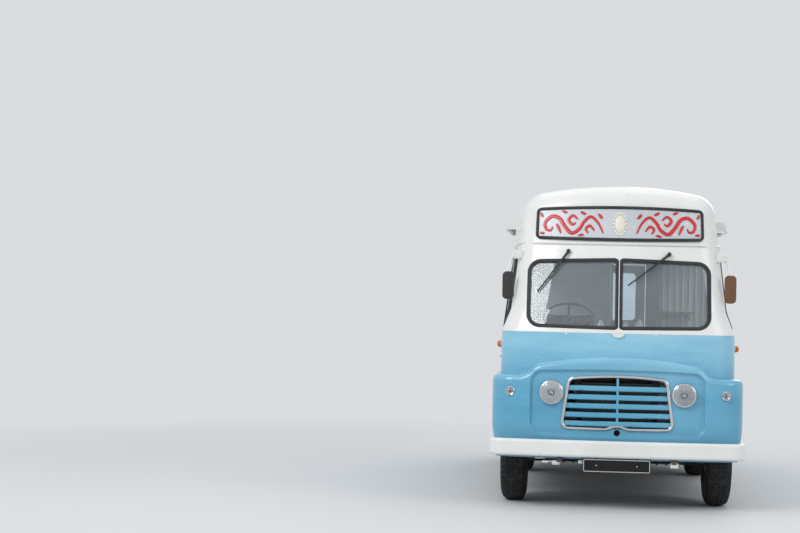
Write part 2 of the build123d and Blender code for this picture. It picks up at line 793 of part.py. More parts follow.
def band(half, bow, thick, low, high, wrap, corner):
    """A bumper: bowed in plan, with its ends wrapped round, facing -Y at y = 0."""
    with BuildSketch(Plane.XY.offset(low)) as sketch:
        with BuildLine():
            ThreePointArc((-half, bow), (0, 0), (half, bow))
            Polyline((half, bow), (half, wrap), (half, 600), (-half, 600), (-half, bow))
        make_face()
        fillet(sketch.vertices().filter_by_position(Axis.Y, bow - 1, bow + 1), corner)
        offset(amount=-thick, mode=Mode.SUBTRACT)
    bar = extrude(sketch.sketch, amount=high - low)
    return bar & box(-half - 10, half + 10, -10, wrap, low - 1, high + 1)


def bumper_back(half, bow, thick, x):
    """How far back the rear face of a bowed bumper stands."""
    radius = (half**2 + bow**2) / (2 * bow)
    return radius - math.sqrt((radius - thick) ** 2 - x**2)


def front_bumper():
    top = BUMPER_BOTTOM + BUMPER_HEIGHT
    bar = band(BUMPER_HALF, BUMPER_BOW, BUMPER_THICK, BUMPER_BOTTOM, top, BUMPER_WRAP, BUMPER_CORNER)
    edges = [e for e in bar.edges() if e.bounding_box().size.Z < 1 and e.length > 700]
    front = sorted(edges, key=lambda e: e.bounding_box().min.Y)[:2]
    return Pos(0, FRONT, 0) * fillet(front, BUMPER_ROUND)


def rear_bumper():
    low, high = REAR_BUMPER_BOTTOM, REAR_BUMPER_BOTTOM + REAR_BUMPER_HEIGHT
    bar = band(
        REAR_BUMPER_HALF, REAR_BUMPER_BOW, REAR_BUMPER_THICK, low, high,
        REAR_BUMPER_WRAP, REAR_BUMPER_CORNER,
    )
    return Rot(0, 0, 180) * Pos(0, FRONT, 0) * bar


def number_plates():
    """Two blank plates: hung under the front bumper and fixed to the rear panel."""
    low = BUMPER_BOTTOM - FRONT_PLATE_DROP
    face = depth(FRONT_PLATE_DEPTH)
    back = face + PLATE_THICK
    front = box(-PLATE_HALF, PLATE_HALF, face, back, low, low + PLATE_HEIGHT)
    for x in (-160, 160):
        front = front + box(x - 12, x + 12, back, back + 4, low + 27, BUMPER_BOTTOM)
    panel = depth(BODY_END)
    top = REAR_PLATE_BOTTOM + PLATE_HEIGHT
    rear = box(-PLATE_HALF, PLATE_HALF, panel, panel + PLATE_THICK, REAR_PLATE_BOTTOM, top)
    return [front, rear]


def canopies():
    """Pressed hoods over the serving windows, open below."""
    wall = upper_body(0)
    y0, y1 = depth(HATCH_FRONT - HOOD_OVERLAP), depth(HATCH_FRONT + HATCH_WIDTH + HOOD_OVERLAP)
    root = SIDE_HALF - TUMBLEHOME * (HOOD_Z - WAIST) - 40
    reach = root + 40 + HOOD_PROJECTION
    top = HOOD_Z + HOOD_HEIGHT
    low = HOOD_Z
    outer = [(root, low), (reach, low), (reach, low + 8), (reach - 12, low + 16)]
    outer = outer + [(reach - 16, top - 26), (reach - 42, top), (root, top)]
    inner = [(root, low - 1), (reach - 10, low - 1), (reach - 22, low + 16), (reach - 24, top - 30)]
    inner = inner + [(reach - 46, top - HOOD_METAL), (root, top - HOOD_METAL)]
    hood = prism_y(outer, y0, y1) - prism_y(inner, y0 + HOOD_METAL, y1 - HOOD_METAL)
    return both_sides(hood - wall)


MIRROR_BRACKET_DROP = 70
MIRROR_BRACKET_HEIGHT = 75
MIRROR_HEAD = (98, 22, 230)
MIRROR_CORNER = 34


def mirrors():
    """Mirror heads on cranked arms from the tops of the windscreen pillars."""
    wall = upper_body(0)
    top = GUTTER - MIRROR_BRACKET_DROP
    low = top - MIRROR_BRACKET_HEIGHT
    x, y = upper_corner((low + top) / 2)
    head = Pos(x + 88, depth(y - 45), low - 215) * Box(*MIRROR_HEAD)
    head = fillet(head.edges().filter_by(Axis.Y), MIRROR_CORNER)
    bracket = box(x - 72, x + 72, depth(y + 25), depth(y + 90), low, top)
    arm = rod((x + 56, depth(y + 45), low + 30), (x + 116, depth(y - 38), low - 185), 7)
    return both_sides((bracket - wall) + arm + head)


# Pivot x and lift over the windscreen, then tip x and drop below its top
WIPERS = ((-413, 68, -640, 245), (401, 55, 120, 185))


def wipers():
    """Two wipers that hang from pivots over the windscreen."""
    wall = upper_body(0)
    pieces = []
    for pivot_x, lift, tip_x, drop in WIPERS:
        pivot_z, tip_z = SCREEN_TOP + lift, SCREEN_TOP - drop
        pivot = (pivot_x, screen_y(pivot_x, pivot_z) - 22, pivot_z)
        tip = (tip_x, screen_y(tip_x, tip_z) - 20, tip_z)
        boss = rod((pivot_x, pivot[1] - 8, pivot_z), (pivot_x, pivot[1] + 60, pivot_z - 10), 11) - wall
        arm = rod(pivot, tip, 5)
        middle = tuple(p + 0.42 * (t - p) for p, t in zip(pivot, tip))
        blade = rod((middle[0], middle[1] + 4, middle[2]), (tip[0], tip[1] + 4, tip[2]), 7)
        pieces.append(boss.solids().sort_by(Axis.Y)[0] + arm + blade)
    return pieces


# Floor, frame and running gear

RAIL_START = 262
RAIL_END = LENGTH - 150
CROSS_WIDTH = 50
CROSS_HEIGHT = 60
BEARER_WIDTH = 48
BEARER_HALF = 940

# Depths of the cross members and of the bearers that carry the floor, some set from the rear axle
BEHIND_AXLE = REAR_AXLE_DEPTH + 437
CROSS_MEMBERS = (330, 2040, REAR_AXLE_DEPTH - 363, BEHIND_AXLE, RAIL_END - 110)
FRONT_BEARERS = (1370, 1790)
BEARER_STEPS = math.ceil((REAR_AXLE_DEPTH - 533 - FRONT_BEARERS[1]) / 420)
BEARER_STEP = (REAR_AXLE_DEPTH - 533 - FRONT_BEARERS[1]) / BEARER_STEPS
MIDDLE_BEARERS = tuple(FRONT_BEARERS[1] + BEARER_STEP * (index + 1) for index in range(BEARER_STEPS))
BEARERS = FRONT_BEARERS + MIDDLE_BEARERS + (REAR_AXLE_DEPTH + 537, RAIL_END - 490, RAIL_END - 50)
CAB_BEARERS = (420, 980)

# Axle place and inner face of each pair of wheel housings
HOUSINGS = (
    (FRONT_AXLE, 466),
    (REAR_AXLE, WHEEL_X - TYRE_WIDTH / 2 - 57.5),
)
HOUSING_LOW = ARCH_CENTRE_Z + 100
ENGINE_HOLE_HALF = 322
ENGINE_HOLE_END = 1350
ENGINE_FRONT = 520
ENGINE_BEARER = 24

# Bumper irons
IRON_METAL = 12
IRON_WIDTH = 42
IRON_DROP = 19
IRON_HEIGHT = 124
IRON_GAP = 0.3


def wheel_housings(inside):
    """An arched box over each wheel, closed on its inner side."""
    pieces = []
    for axle_y, inner_x in HOUSINGS:
        outer = wheel_arch(axle_y, HOUSING_RADIUS + HOUSING_METAL, inner_x, 1000)
        hollow = wheel_arch(axle_y, HOUSING_RADIUS, inner_x + HOUSING_METAL, WIDE)
        housing = (outer - hollow) & box(0, WIDE, FRONT, REAR, HOUSING_LOW, TALL) & inside
        pieces = pieces + both_sides(housing)
    return pieces


def floor_pan(inside):
    """Floor sheet, cut away round the wheel housings, the engine and the doors."""
    low = FLOOR_Z - FLOOR_THICK
    sheet = inside & box(-WIDE, WIDE, depth(300), REAR, low, FLOOR_Z)
    sheet = sheet - box(-ENGINE_HOLE_HALF, ENGINE_HOLE_HALF, FRONT, depth(ENGINE_HOLE_END), 0, TALL)
    for axle_y, inner_x in HOUSINGS:
        for cut in both_sides(wheel_arch(axle_y, HOUSING_RADIUS + HOUSING_METAL, inner_x, WIDE)):
            sheet = sheet - cut
    side = SIDE_HALF - WALL - 5
    edge = box(side, WIDE, depth(DOOR_FRONT - 10), depth(DOOR_END + 10), low - 1, FLOOR_Z + 1)
    sheet = sheet - both_sides(edge)
    half = REAR_DOOR_HALF + 10
    rear = box(-half, half, depth(BODY_END - WALL - 8), REAR, low - 1, FLOOR_Z + 1)
    return sheet - rear


def bumper_iron(x, y0, y1, contact):
    """A hanger plate under a rail's end, with a foot along to the bumper and an upright against it."""
    low = GROUND_CLEARANCE - IRON_DROP
    plate = box(x, x + IRON_METAL, depth(y0), depth(y1), low, RAIL_TOP - 20)
    near, far = sorted((contact, y1 if contact < y0 else y0))
    foot = box(x, x + IRON_WIDTH, depth(near), depth(far), low, low + IRON_METAL)
    front, back = sorted((contact, contact + 10 if contact < y0 else contact - 10))
    upright = box(x, x + IRON_WIDTH, depth(front), depth(back), low, low + IRON_HEIGHT)
    return plate + foot + upright


def chassis_frame(inside):
    """Two channel rails with cross members, body bearers and bumper irons."""
    low = RAIL_TOP - RAIL_HEIGHT
    frame = None
    for side in (-1, 1):
        x0, x1 = RAIL_X - RAIL_WIDTH / 2, RAIL_X + RAIL_WIDTH / 2
        rail = box(x0, x1, depth(RAIL_START), depth(RAIL_END), low, RAIL_TOP)
        hollow_low, hollow_high = low + RAIL_METAL, RAIL_TOP - RAIL_METAL
        ends = depth(RAIL_START - 10), depth(RAIL_END + 10)
        rail = rail - box(x0 - 1, x1 - RAIL_METAL, *ends, hollow_low, hollow_high)
        outer = x1 + IRON_WIDTH
        near = bumper_back(BUMPER_HALF, BUMPER_BOW, BUMPER_THICK, outer) + IRON_GAP
        far = LENGTH - bumper_back(REAR_BUMPER_HALF, REAR_BUMPER_BOW, REAR_BUMPER_THICK, outer) - IRON_GAP
        front_iron = bumper_iron(x1, RAIL_START, RAIL_START + 158, near)
        rear_iron = bumper_iron(x1, RAIL_END - 130, RAIL_END - 10, far)
        whole = rail + front_iron + rear_iron
        whole = whole if side > 0 else mirror(whole, about=Plane.YZ)
        frame = whole if frame is None else frame + whole
    reach = RAIL_X + RAIL_WIDTH / 2 - RAIL_METAL
    cross_top = RAIL_TOP - RAIL_METAL
    cross_low = cross_top - CROSS_HEIGHT
    for y in CROSS_MEMBERS:
        frame = frame + box(-reach, reach, depth(y), depth(y + CROSS_WIDTH), cross_low, cross_top)
    y0, y1 = depth(ENGINE_FRONT + 80), depth(ENGINE_FRONT + 160)
    frame = frame + box(-reach, reach, y0, y1, low, low + ENGINE_BEARER)
    floor_low = FLOOR_Z - FLOOR_THICK
    for y in BEARERS:
        bearer = box(-BEARER_HALF, BEARER_HALF, depth(y), depth(y + BEARER_WIDTH), RAIL_TOP, floor_low)
        frame = frame + (bearer & inside)
    for y in CAB_BEARERS:
        block = box(RAIL_X - 55, RAIL_X + 55, depth(y), depth(y + BEARER_WIDTH), RAIL_TOP, floor_low)
        frame = frame + block + mirror(block, about=Plane.YZ)
    return frame


ENGINE_HALF = 255
ENGINE_LENGTH = 640
ENGINE_TOP = 1050
GEARBOX_HALF = 120
GEARBOX_LENGTH = 460


def engine_block():
    """Engine and gearbox as one plain mass on its cross member."""
    low = RAIL_TOP - RAIL_HEIGHT + ENGINE_BEARER
    back = ENGINE_FRONT + ENGINE_LENGTH
    engine = box(-ENGINE_HALF, ENGINE_HALF, depth(ENGINE_FRONT), depth(back), low, ENGINE_TOP)
    end = depth(back + GEARBOX_LENGTH)
    return engine + box(-GEARBOX_HALF, GEARBOX_HALF, depth(back), end, RAIL_TOP - 180, RAIL_TOP - 10)


RADIATOR_HALF = 285
RADIATOR_TOP = 1010


def radiator():
    """Radiator with its top tank, on the first cross member behind the grille."""
    low, high = RAIL_TOP - RAIL_METAL, RADIATOR_TOP
    half = RADIATOR_HALF
    y0, y1 = CROSS_MEMBERS[0], CROSS_MEMBERS[0] + CROSS_WIDTH
    core = box(14 - half, half - 14, depth(y0 + 4), depth(y1 - 4), low + 30, high - 60)
    foot = box(-half, half, depth(y0), depth(y1), low, low + 34)
    tank = box(-half, half, depth(y0 - 6), depth(y1 + 6), high - 64, high)
    tank = fillet(tank.edges().filter_by(Axis.X), 18)
    filler = Pos(0, depth((y0 + y1) / 2), high + 8) * Cylinder(26, 24)
    side = box(-half, 16 - half, depth(y0), depth(y1), low, high - 40)
    return core + foot + tank + filler + side + mirror(side, about=Plane.YZ)


def propshaft():
    start = (0, depth(ENGINE_FRONT + ENGINE_LENGTH + GEARBOX_LENGTH), RAIL_TOP - 130)
    end = (0, REAR_AXLE - AXLE_NOSE_REACH, TYRE_RADIUS + 10)
    shaft = rod(start, end, 32)
    joints = rod(start, (0, start[1] + 60, start[2] - 3), 46) + rod((0, end[1] - 60, end[2] + 2), end, 46)
    low = box(-120, 120, start[1], end[1], 0, 900)
    return (shaft + joints) & low


AXLE_BEAM_TOP = TYRE_RADIUS - 18
BEAM_HEIGHT = 60
BEAM_HALF_WIDTH = 28
KINGPIN_RADIUS = 15
KINGPIN_GAP = 0.2
KINGPIN_EYE = 32
EYE_HEIGHT = 80


def front_axle():
    """Drop-centre I beam with a kingpin eye at each end and spring seats."""
    x = KINGPIN_X
    top, low = AXLE_BEAM_TOP, AXLE_BEAM_TOP - BEAM_HEIGHT
    right_half = [(x - 200, top), (x - 100, top + 30), (x, top + 40)]
    right_half = right_half + [(x, low + 50), (x - 90, low + 35), (x - 190, low)]
    left_half = [(-px, pz) for px, pz in reversed(right_half)]
    with BuildSketch(Plane.XZ) as sketch:
        with BuildLine():
            Polyline(*right_half, *left_half, close=True)
        make_face()
    beam = extrude(sketch.sketch, amount=BEAM_HALF_WIDTH, both=True)
    for y in (-19, 19):
        beam = beam - Pos(0, y, top - BEAM_HEIGHT / 2) * Box(2 * (x - 210), 22, 34)
    for side in (-1, 1):
        eye = Pos(side * x, 0, TYRE_RADIUS) * Cylinder(KINGPIN_EYE, EYE_HEIGHT)
        pin = Pos(side * x, 0, TYRE_RADIUS) * Cylinder(KINGPIN_RADIUS + KINGPIN_GAP, EYE_HEIGHT + 10)
        beam = (beam + eye) - pin
    return Pos(0, FRONT_AXLE, 0) * beam


YOKE_INNER = 38
YOKE_OUTER = 64
YOKE_PLATE = 22
HALF_EYE = EYE_HEIGHT / 2 + 6
STUB_RADIUS = 23
STUB_LENGTH = 130
HUB_BORE = STUB_RADIUS + 0.3
ARM_LENGTH = 170
ARM_THICK = 18
ROD_PIN = 9
ROD_PIN_GAP = 0.2
ROD_DROP = 28


def knuckle():
    """Forked knuckle of the +X wheel: kingpin, yoke, stub axle, back plate and steering arm."""
    half = HALF_EYE + YOKE_PLATE
    yoke = box(YOKE_INNER, YOKE_OUTER, -36, 36, -half, half)
    for z in (-HALF_EYE - YOKE_PLATE / 2, HALF_EYE + YOKE_PLATE / 2):
        yoke = yoke + box(0, YOKE_OUTER, -30, 30, z - YOKE_PLATE / 2, z + YOKE_PLATE / 2)
        yoke = yoke + Pos(0, 0, z) * Cylinder(30, YOKE_PLATE)
    yoke = yoke + Cylinder(KINGPIN_RADIUS, 2 * half)
    stub = Rot(0, 90, 0) * Cylinder(STUB_RADIUS, STUB_LENGTH)
    yoke = yoke + Pos(YOKE_OUTER - 2 + STUB_LENGTH / 2, 0, 0) * stub
    yoke = yoke + Pos(YOKE_OUTER + 2, 0, 0) * Rot(0, 90, 0) * Cylinder(138, 4)
    arm_z = -HALF_EYE - YOKE_PLATE / 2
    arm = box(-24, 24, 20, ARM_LENGTH, arm_z - ARM_THICK / 2, arm_z + ARM_THICK / 2)
    eye = Pos(0, ARM_LENGTH, arm_z) * Cylinder(26, ARM_THICK)
    pin = Pos(0, ARM_LENGTH, arm_z - 24) * Cylinder(ROD_PIN, 40)
    return Pos(KINGPIN_X, FRONT_AXLE, TYRE_RADIUS) * (yoke + arm + eye + pin)


def tie_rod():
    """Track rod between the steering arms, behind the axle."""
    z = TYRE_RADIUS - HALF_EYE - YOKE_PLATE / 2 - ROD_DROP
    y = FRONT_AXLE + ARM_LENGTH
    bar = rod((-KINGPIN_X, y, z), (KINGPIN_X, y, z), 10)
    for side in (-1, 1):
        end = Pos(side * KINGPIN_X, y, z) * Cylinder(22, 26)
        hole = Pos(side * KINGPIN_X, y, z) * Cylinder(ROD_PIN + ROD_PIN_GAP, 60)
        bar = (bar + end) - hole
    return bar


SADDLE_HEIGHT = 60
AXLE_NOSE_REACH = 206


def rear_axle():
    """Banjo housing with tubes, stubs and saddles for the springs."""
    tube = Rot(0, 90, 0) * Cylinder(45, 1380)
    bowl = Sphere(165) & Box(400, 260, 400)
    nose = Pos(0, 76 - AXLE_NOSE_REACH, 10) * Rot(90, 0, 0) * Cylinder(62, 152)
    axle = tube + bowl + nose
    for side in (-1, 1):
        stub = Pos(side * 780, 0, 0) * Rot(0, 90, 0) * Cylinder(STUB_RADIUS, 220)
        plate = Pos(side * 700, 0, 0) * Rot(0, 90, 0) * Cylinder(150, 8)
        saddle = Pos(side * RAIL_X, 0, -SADDLE_HEIGHT / 2) * Box(70, 110, SADDLE_HEIGHT)
        axle = axle + stub + plate + saddle
    return Pos(0, REAR_AXLE, TYRE_RADIUS) * axle


LEAF = 9
LEAF_WIDTH = 55
LEAF_RISE = 70


def leaf_spring(axle_y, seat_z, over, half_length, leaves):
    """A stack of bowed leaves with eyes and hangers, under one rail."""
    width, leaf, rise = LEAF_WIDTH, LEAF, LEAF_RISE
    radius = (half_length**2 + rise**2) / (2 * rise)

    def on(y, z):
        return (y, z + radius - math.sqrt(radius**2 - y**2))

    main_z = seat_z + (leaves - 1) * leaf if over else seat_z - leaf - 1
    stack = None
    for index in range(leaves):
        reach = half_length * (1 - 0.17 * index)
        low = main_z - index * leaf
        with BuildSketch(Plane.YZ) as sketch:
            with BuildLine():
                ThreePointArc(on(-reach, low), on(0, low), on(reach, low))
                Line(on(reach, low), on(reach, low + leaf))
                ThreePointArc(on(reach, low + leaf), on(0, low + leaf), on(-reach, low + leaf))
                Line(on(-reach, low + leaf), on(-reach, low))
            make_face()
        piece = extrude(sketch.sketch, amount=width / 2, both=True)
        stack = piece if stack is None else stack + piece
    low = seat_z if over else seat_z - leaves * leaf - 6
    high = seat_z + leaves * leaf + 6 if over else seat_z
    stack = stack + box(-width / 2, width / 2, -55, 55, low, high)
    rail_low = RAIL_TOP - RAIL_HEIGHT
    for end in (-1, 1):
        eye_z = main_z + rise + leaf / 2
        stack = stack + Pos(0, end * half_length, eye_z) * Rot(0, 90, 0) * Cylinder(20, width)
        hanger = box(-width / 2, width / 2, end * half_length - 16, end * half_length + 16, eye_z, rail_low)
        stack = stack + hanger
    return Pos(RAIL_X, axle_y, 0) * stack


def leaf_springs():
    front = leaf_spring(FRONT_AXLE, AXLE_BEAM_TOP, True, 430, 4)
    rear = leaf_spring(REAR_AXLE, TYRE_RADIUS - SADDLE_HEIGHT, False, 560, 6)
    return both_sides(front) + both_sides(rear)


def fuel_tank():
    """Box tank hung from the body bearers on the nearside."""
    tank = box(480, 860, depth(2120), depth(2700), 430, RAIL_TOP)
    return fillet(tank.edges().filter_by(Axis.Y), 40)


def exhaust():
    """Pipe, silencer and side outlet on the offside."""
    z = 470
    start = Vector(-ENGINE_HALF - 0.3, depth(760), 560)
    corners = [(-330, 760, 560), (-330, 760, z), (-330, 1500, z - 12), (-580, 1640, z)]
    corners = corners + [(-580, 2760, z), (-580, 2840, 352), (-965, 2840, 352)]
    line = FilletPolyline(start, *[(x, depth(y), height) for x, y, height in corners], radius=34)
    pipe = sweep(Plane(origin=line @ 0, z_dir=line % 0) * Circle(22), path=line)
    silencer = Pos(-580, depth(2100), z) * Rot(90, 0, 0) * Cylinder(80, 640)
    strap_y = MIDDLE_BEARERS[0]
    strap = box(-595, -565, depth(strap_y), depth(strap_y + 40), z, RAIL_TOP)
    return pipe + silencer + strap


BEAD_GAP = 0.3
WIDEST_SHARE = 0.604


def tyre():
    """A tyre about the X axis."""
    half = TYRE_WIDTH / 2
    tread = TYRE_RADIUS
    bead = RIM_RADIUS + BEAD_GAP
    widest = bead + WIDEST_SHARE * (tread - 44 - bead)
    with BuildSketch(Plane.XY) as sketch:
        with BuildLine():
            Polyline((-BEAD_HALF, bead), (BEAD_HALF, bead), (84, bead + 20))
            ThreePointArc((84, bead + 20), (half, widest), (half - 14, tread - 44))
            ThreePointArc((half - 14, tread - 44), (half - 27, tread - 18), (half - 52, tread - 5))
            ThreePointArc((half - 52, tread - 5), (0, tread), (52 - half, tread - 5))
            ThreePointArc((52 - half, tread - 5), (27 - half, tread - 18), (14 - half, tread - 44))
            ThreePointArc((14 - half, tread - 44), (-half, widest), (-84, bead + 20))
            Line((-84, bead + 20), (-BEAD_HALF, bead))
        make_face()
    return revolve(sketch.sketch, Axis.X)


def wheel():
    """Rim, dished disc, hub with its cap and brake drum, outer side towards +X."""
    rim = RIM_RADIUS
    edge = BEAD_HALF
    outside = [(-edge, rim), (edge, rim), (edge, rim - 8), (40, rim - 26)]
    outside = outside + [(28, rim - 32), (36, 152), (22, 130), (22, 78)]
    cap = [(52, 70), (66, 52), (74, 28), (76, 0), (72, 0), (72, HUB_BORE), (-52, HUB_BORE), (-52, 50)]
    drum = [(12, 50), (12, 118), (-40, 118), (-40, 138), (14, 138), (27, 152), (18, rim - 38)]
    inside = [(-34, rim - 34), (4 - edge, rim - 8), (-edge, rim - 8)]
    with BuildSketch(Plane.XY) as sketch:
        with BuildLine():
            Polyline(*outside, *cap, *drum, *inside, close=True)
        make_face()
    return revolve(sketch.sketch, Axis.X)


WHEELS = (
    ("front_left", 1, FRONT_AXLE),
    ("front_right", -1, FRONT_AXLE),
    ("rear_left", 1, REAR_AXLE),
    ("rear_right", -1, REAR_AXLE),
)


# Cab and servery fittings

STEERING_X = -401
STEERING_DEPTH = 930
STEERING_Z = 1500
COLUMN_ANGLE = 52
STEERING_RADIUS = 208
SHAFT_RADIUS = 11
SHAFT_GAP = 0.3
COLUMN_DROP = 48


def steering_plane():
    angle = math.radians(COLUMN_ANGLE)
    axis = (0, math.cos(angle), math.sin(angle))
    return Plane(origin=(STEERING_X, depth(STEERING_DEPTH), STEERING_Z), x_dir=(1, 0, 0), z_dir=axis)


def steering_wheel():
    """Thin-rimmed wheel with three spokes on its shaft."""
    rim = Torus(STEERING_RADIUS, 10)
    hub = Pos(0, 0, -22) * Cylinder(36, 40) + Pos(0, 0, -92) * Cylinder(SHAFT_RADIUS, 110)
    wheel = rim + hub
    for angle in (30, 150, 270):
        spoke = Pos(STEERING_RADIUS / 2 + 14, 0, -8) * Box(STEERING_RADIUS - 40, 16, 8)
        wheel = wheel + Rot(0, 0, angle) * spoke
    return steering_plane() * wheel


def steering_column():
    """Column tube from the floor to the wheel, with a foot."""
    angle = math.radians(COLUMN_ANGLE)
    length = (STEERING_Z - FLOOR_Z) / math.sin(angle)
    tube = Pos(0, 0, -(length + COLUMN_DROP) / 2) * Cylinder(24, length - COLUMN_DROP)
    bore = Pos(0, 0, -COLUMN_DROP - 60) * Cylinder(SHAFT_RADIUS + SHAFT_GAP, 122)
    column = steering_plane() * (tube - bore)
    foot_y = depth(STEERING_DEPTH) - length * math.cos(angle)
    foot = Pos(STEERING_X, foot_y, FLOOR_Z + 8) * Box(120, 130, 16)
    return (column + foot) & box(-WIDE, 0, FRONT, REAR, FLOOR_Z, TALL)


def dashboard(inside):
    """Ledge under the windscreen with an instrument binnacle."""
    back = depth(560)
    ledge = inside & box(-WIDE, WIDE, FRONT, back, WAIST - 45, WAIST - 5)
    x0, x1 = STEERING_X - 159, STEERING_X + 161
    return ledge + (inside & box(x0, x1, depth(430), back, WAIST - 150, WAIST - 45))


def driver_seat():
    """Padded seat on a pedestal."""
    x, y = STEERING_X, depth(1590)
    base = box(x - 150, x + 150, y - 150, y + 180, FLOOR_Z, 1020)
    cushion = Pos(x, y, 1070) * Box(430, 430, 100)
    cushion = fillet(cushion.edges(), 30)
    back = Pos(x, y + 200, 1310) * Rot(-8, 0, 0) * Box(410, 80, 440)
    back = fillet(back.edges(), 30)
    return base + cushion + back


COVER_METAL = 14


def engine_cover():
    """Lift-off cover over the engine, between the seats."""
    x, y0, y1, top = 335, depth(410), depth(1340), 1110
    cover = box(-x, x, y0, y1, FLOOR_Z, top)
    cover = fillet([e for e in cover.edges() if e.bounding_box().min.Z > top - 1], 50)
    m = COVER_METAL
    hollow = box(m - x, x - m, y0 + m, y1 - m, FLOOR_Z - 1, top - m)
    hollow = fillet([e for e in hollow.edges() if e.bounding_box().min.Z > top - m - 1], 50 - m)
    return cover - hollow


GANGWAY_START = -20
GANGWAY_END = 390


def bulkhead(inside):
    """Partitions behind the cab: one each side of the gangway."""
    y0, y1 = depth(BULKHEAD_END - BULKHEAD_THICK), depth(BULKHEAD_END)
    top = GUTTER + 30
    offside = inside & box(-WIDE, GANGWAY_START, y0, y1, FLOOR_Z, top)
    nearside = inside & box(GANGWAY_END, WIDE, y0, y1, FLOOR_Z, top)
    return [offside, nearside]


MACHINE_GAP = 182
MACHINE_LENGTH = 580
COUNTER_GAP = 102


def ice_cream_machine():
    """Upright soft ice cream freezer with its dispensing head over the gangway."""
    y0 = depth(BULKHEAD_END + MACHINE_GAP)
    y1 = y0 + MACHINE_LENGTH
    cabinet = box(-880, -350, y0, y1, FLOOR_Z + 60, 1980)
    cabinet = fillet(cabinet.edges().filter_by(Axis.Z), 30)
    feet = [box(x, x + 40, y, y + 40, FLOOR_Z, FLOOR_Z + 60) for x in (-860, -410) for y in (y0 + 20, y1 - 60)]
    head = box(-350, -250, y0 + 140, y1 - 140, 1560, 1720)
    tray = box(-350, -230, y0 + 120, y1 - 120, 1290, 1316)
    nozzle = rod((-290, (y0 + y1) / 2, 1500), (-290, (y0 + y1) / 2, 1560), 26)
    machine = cabinet + head + tray + nozzle
    for foot in feet:
        machine = machine + foot
    return machine


COUNTER_X = 612
COUNTER_TOP = 1410
COUNTER_BOARD = 30
COUNTER_LENGTH = 2240


def counter(inside):
    """Serving counter under the nearside windows."""
    y0 = depth(BULKHEAD_END + COUNTER_GAP)
    y1 = y0 + COUNTER_LENGTH
    low = COUNTER_TOP - COUNTER_BOARD
    top = box(COUNTER_X - 16, SIDE_HALF - WALL - 15, y0, y1, low, COUNTER_TOP)
    front = box(COUNTER_X, COUNTER_X + 20, y0, y1, FLOOR_Z, low)
    ends = [inside & box(COUNTER_X, WIDE, y, y + 20, 900, low) for y in (y0, y1 - 20)]
    return top + front + ends[0] + ends[1]


if __name__ == "__main__":
    os.makedirs("parts", exist_ok=True)
    inner = body(WALL, RECESS_DEEP)
    shell = body(0) - inner

    save("nose_panel", nose_panel(shell))
    save("screen_panel", screen_panel(shell))
    save("roof", roof_panel(shell))
    left_side = side_panel(shell)
    save("side_panel_left", left_side)
    save("side_panel_right", mirror(left_side, about=Plane.YZ))
    save("rear_panel", rear_panel(shell))
    left_door = side_door(shell)
    save("door_left", left_door)
    save("door_right", mirror(left_door, about=Plane.YZ))
    save("rear_door", rear_door(shell))
    save("rear_door_glass", rear_door_glass())
    save("glazing", glazing())
    save("sign_panel", sign_panel())
    save("grille_bars", grille_bars())
    save("grille_surround", grille_surround())
    save("headlamps", [headlamp(HEADLAMP_X), headlamp(-HEADLAMP_X)])
    save("small_lamps", front_lamps() + tail_lamps())
    save("bumpers", [front_bumper(), rear_bumper()])
    save("number_plates", number_plates())
    save("canopies", canopies())
    save("mirrors", mirrors())
    save("wipers", wipers())

    save("floor_pan", floor_pan(inner))
    save("wheel_housings", wheel_housings(inner))
    save("radiator", radiator())
    save("chassis_frame", chassis_frame(inner))
    save("engine_block", engine_block())
    save("propshaft", propshaft())
    save("front_axle", front_axle())
    save("rear_axle", rear_axle())
    save("leaf_springs", leaf_springs())
    save("fuel_tank", fuel_tank())
    save("exhaust", exhaust())
    left_knuckle = knuckle()
    save("knuckle_left", left_knuckle)
    save("knuckle_right", mirror(left_knuckle, about=Plane.YZ))
    save("tie_rod", tie_rod())
    for name, side, axle_y in WHEELS:
        place = Pos(side * WHEEL_X, axle_y, TYRE_RADIUS)
        turn = Rot(0, 0, 0 if side > 0 else 180)
        save(f"tyre_{name}", place * turn * tyre())
        save(f"wheel_{name}", place * turn * wheel())

    save("steering_wheel", steering_wheel())
    save("steering_column", steering_column())
    save("dashboard", dashboard(inner))
    save("driver_seat", driver_seat())
    save("engine_cover", engine_cover())
    save("bulkhead", bulkhead(inner))
    save("ice_cream_machine", ice_cream_machine())
    save("counter", counter(inner))
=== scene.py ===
# %% [markdown]
# # An ice cream truck, step by step
# The CAD model gives every solid in its real place. Here each one gets its finish, and the small
# things that a CAD solid leaves plain are modelled round it: rubber, bright trim, lenses and tread.
# Places are in metres, as in the CAD frame, and the sections of small things are in millimetres.

# %% Load the frame
import math

import bmesh
import bpy
from mathutils import Matrix, Vector
from mathutils.bvhtree import BVHTree
from mathutils.geometry import interpolate_bezier


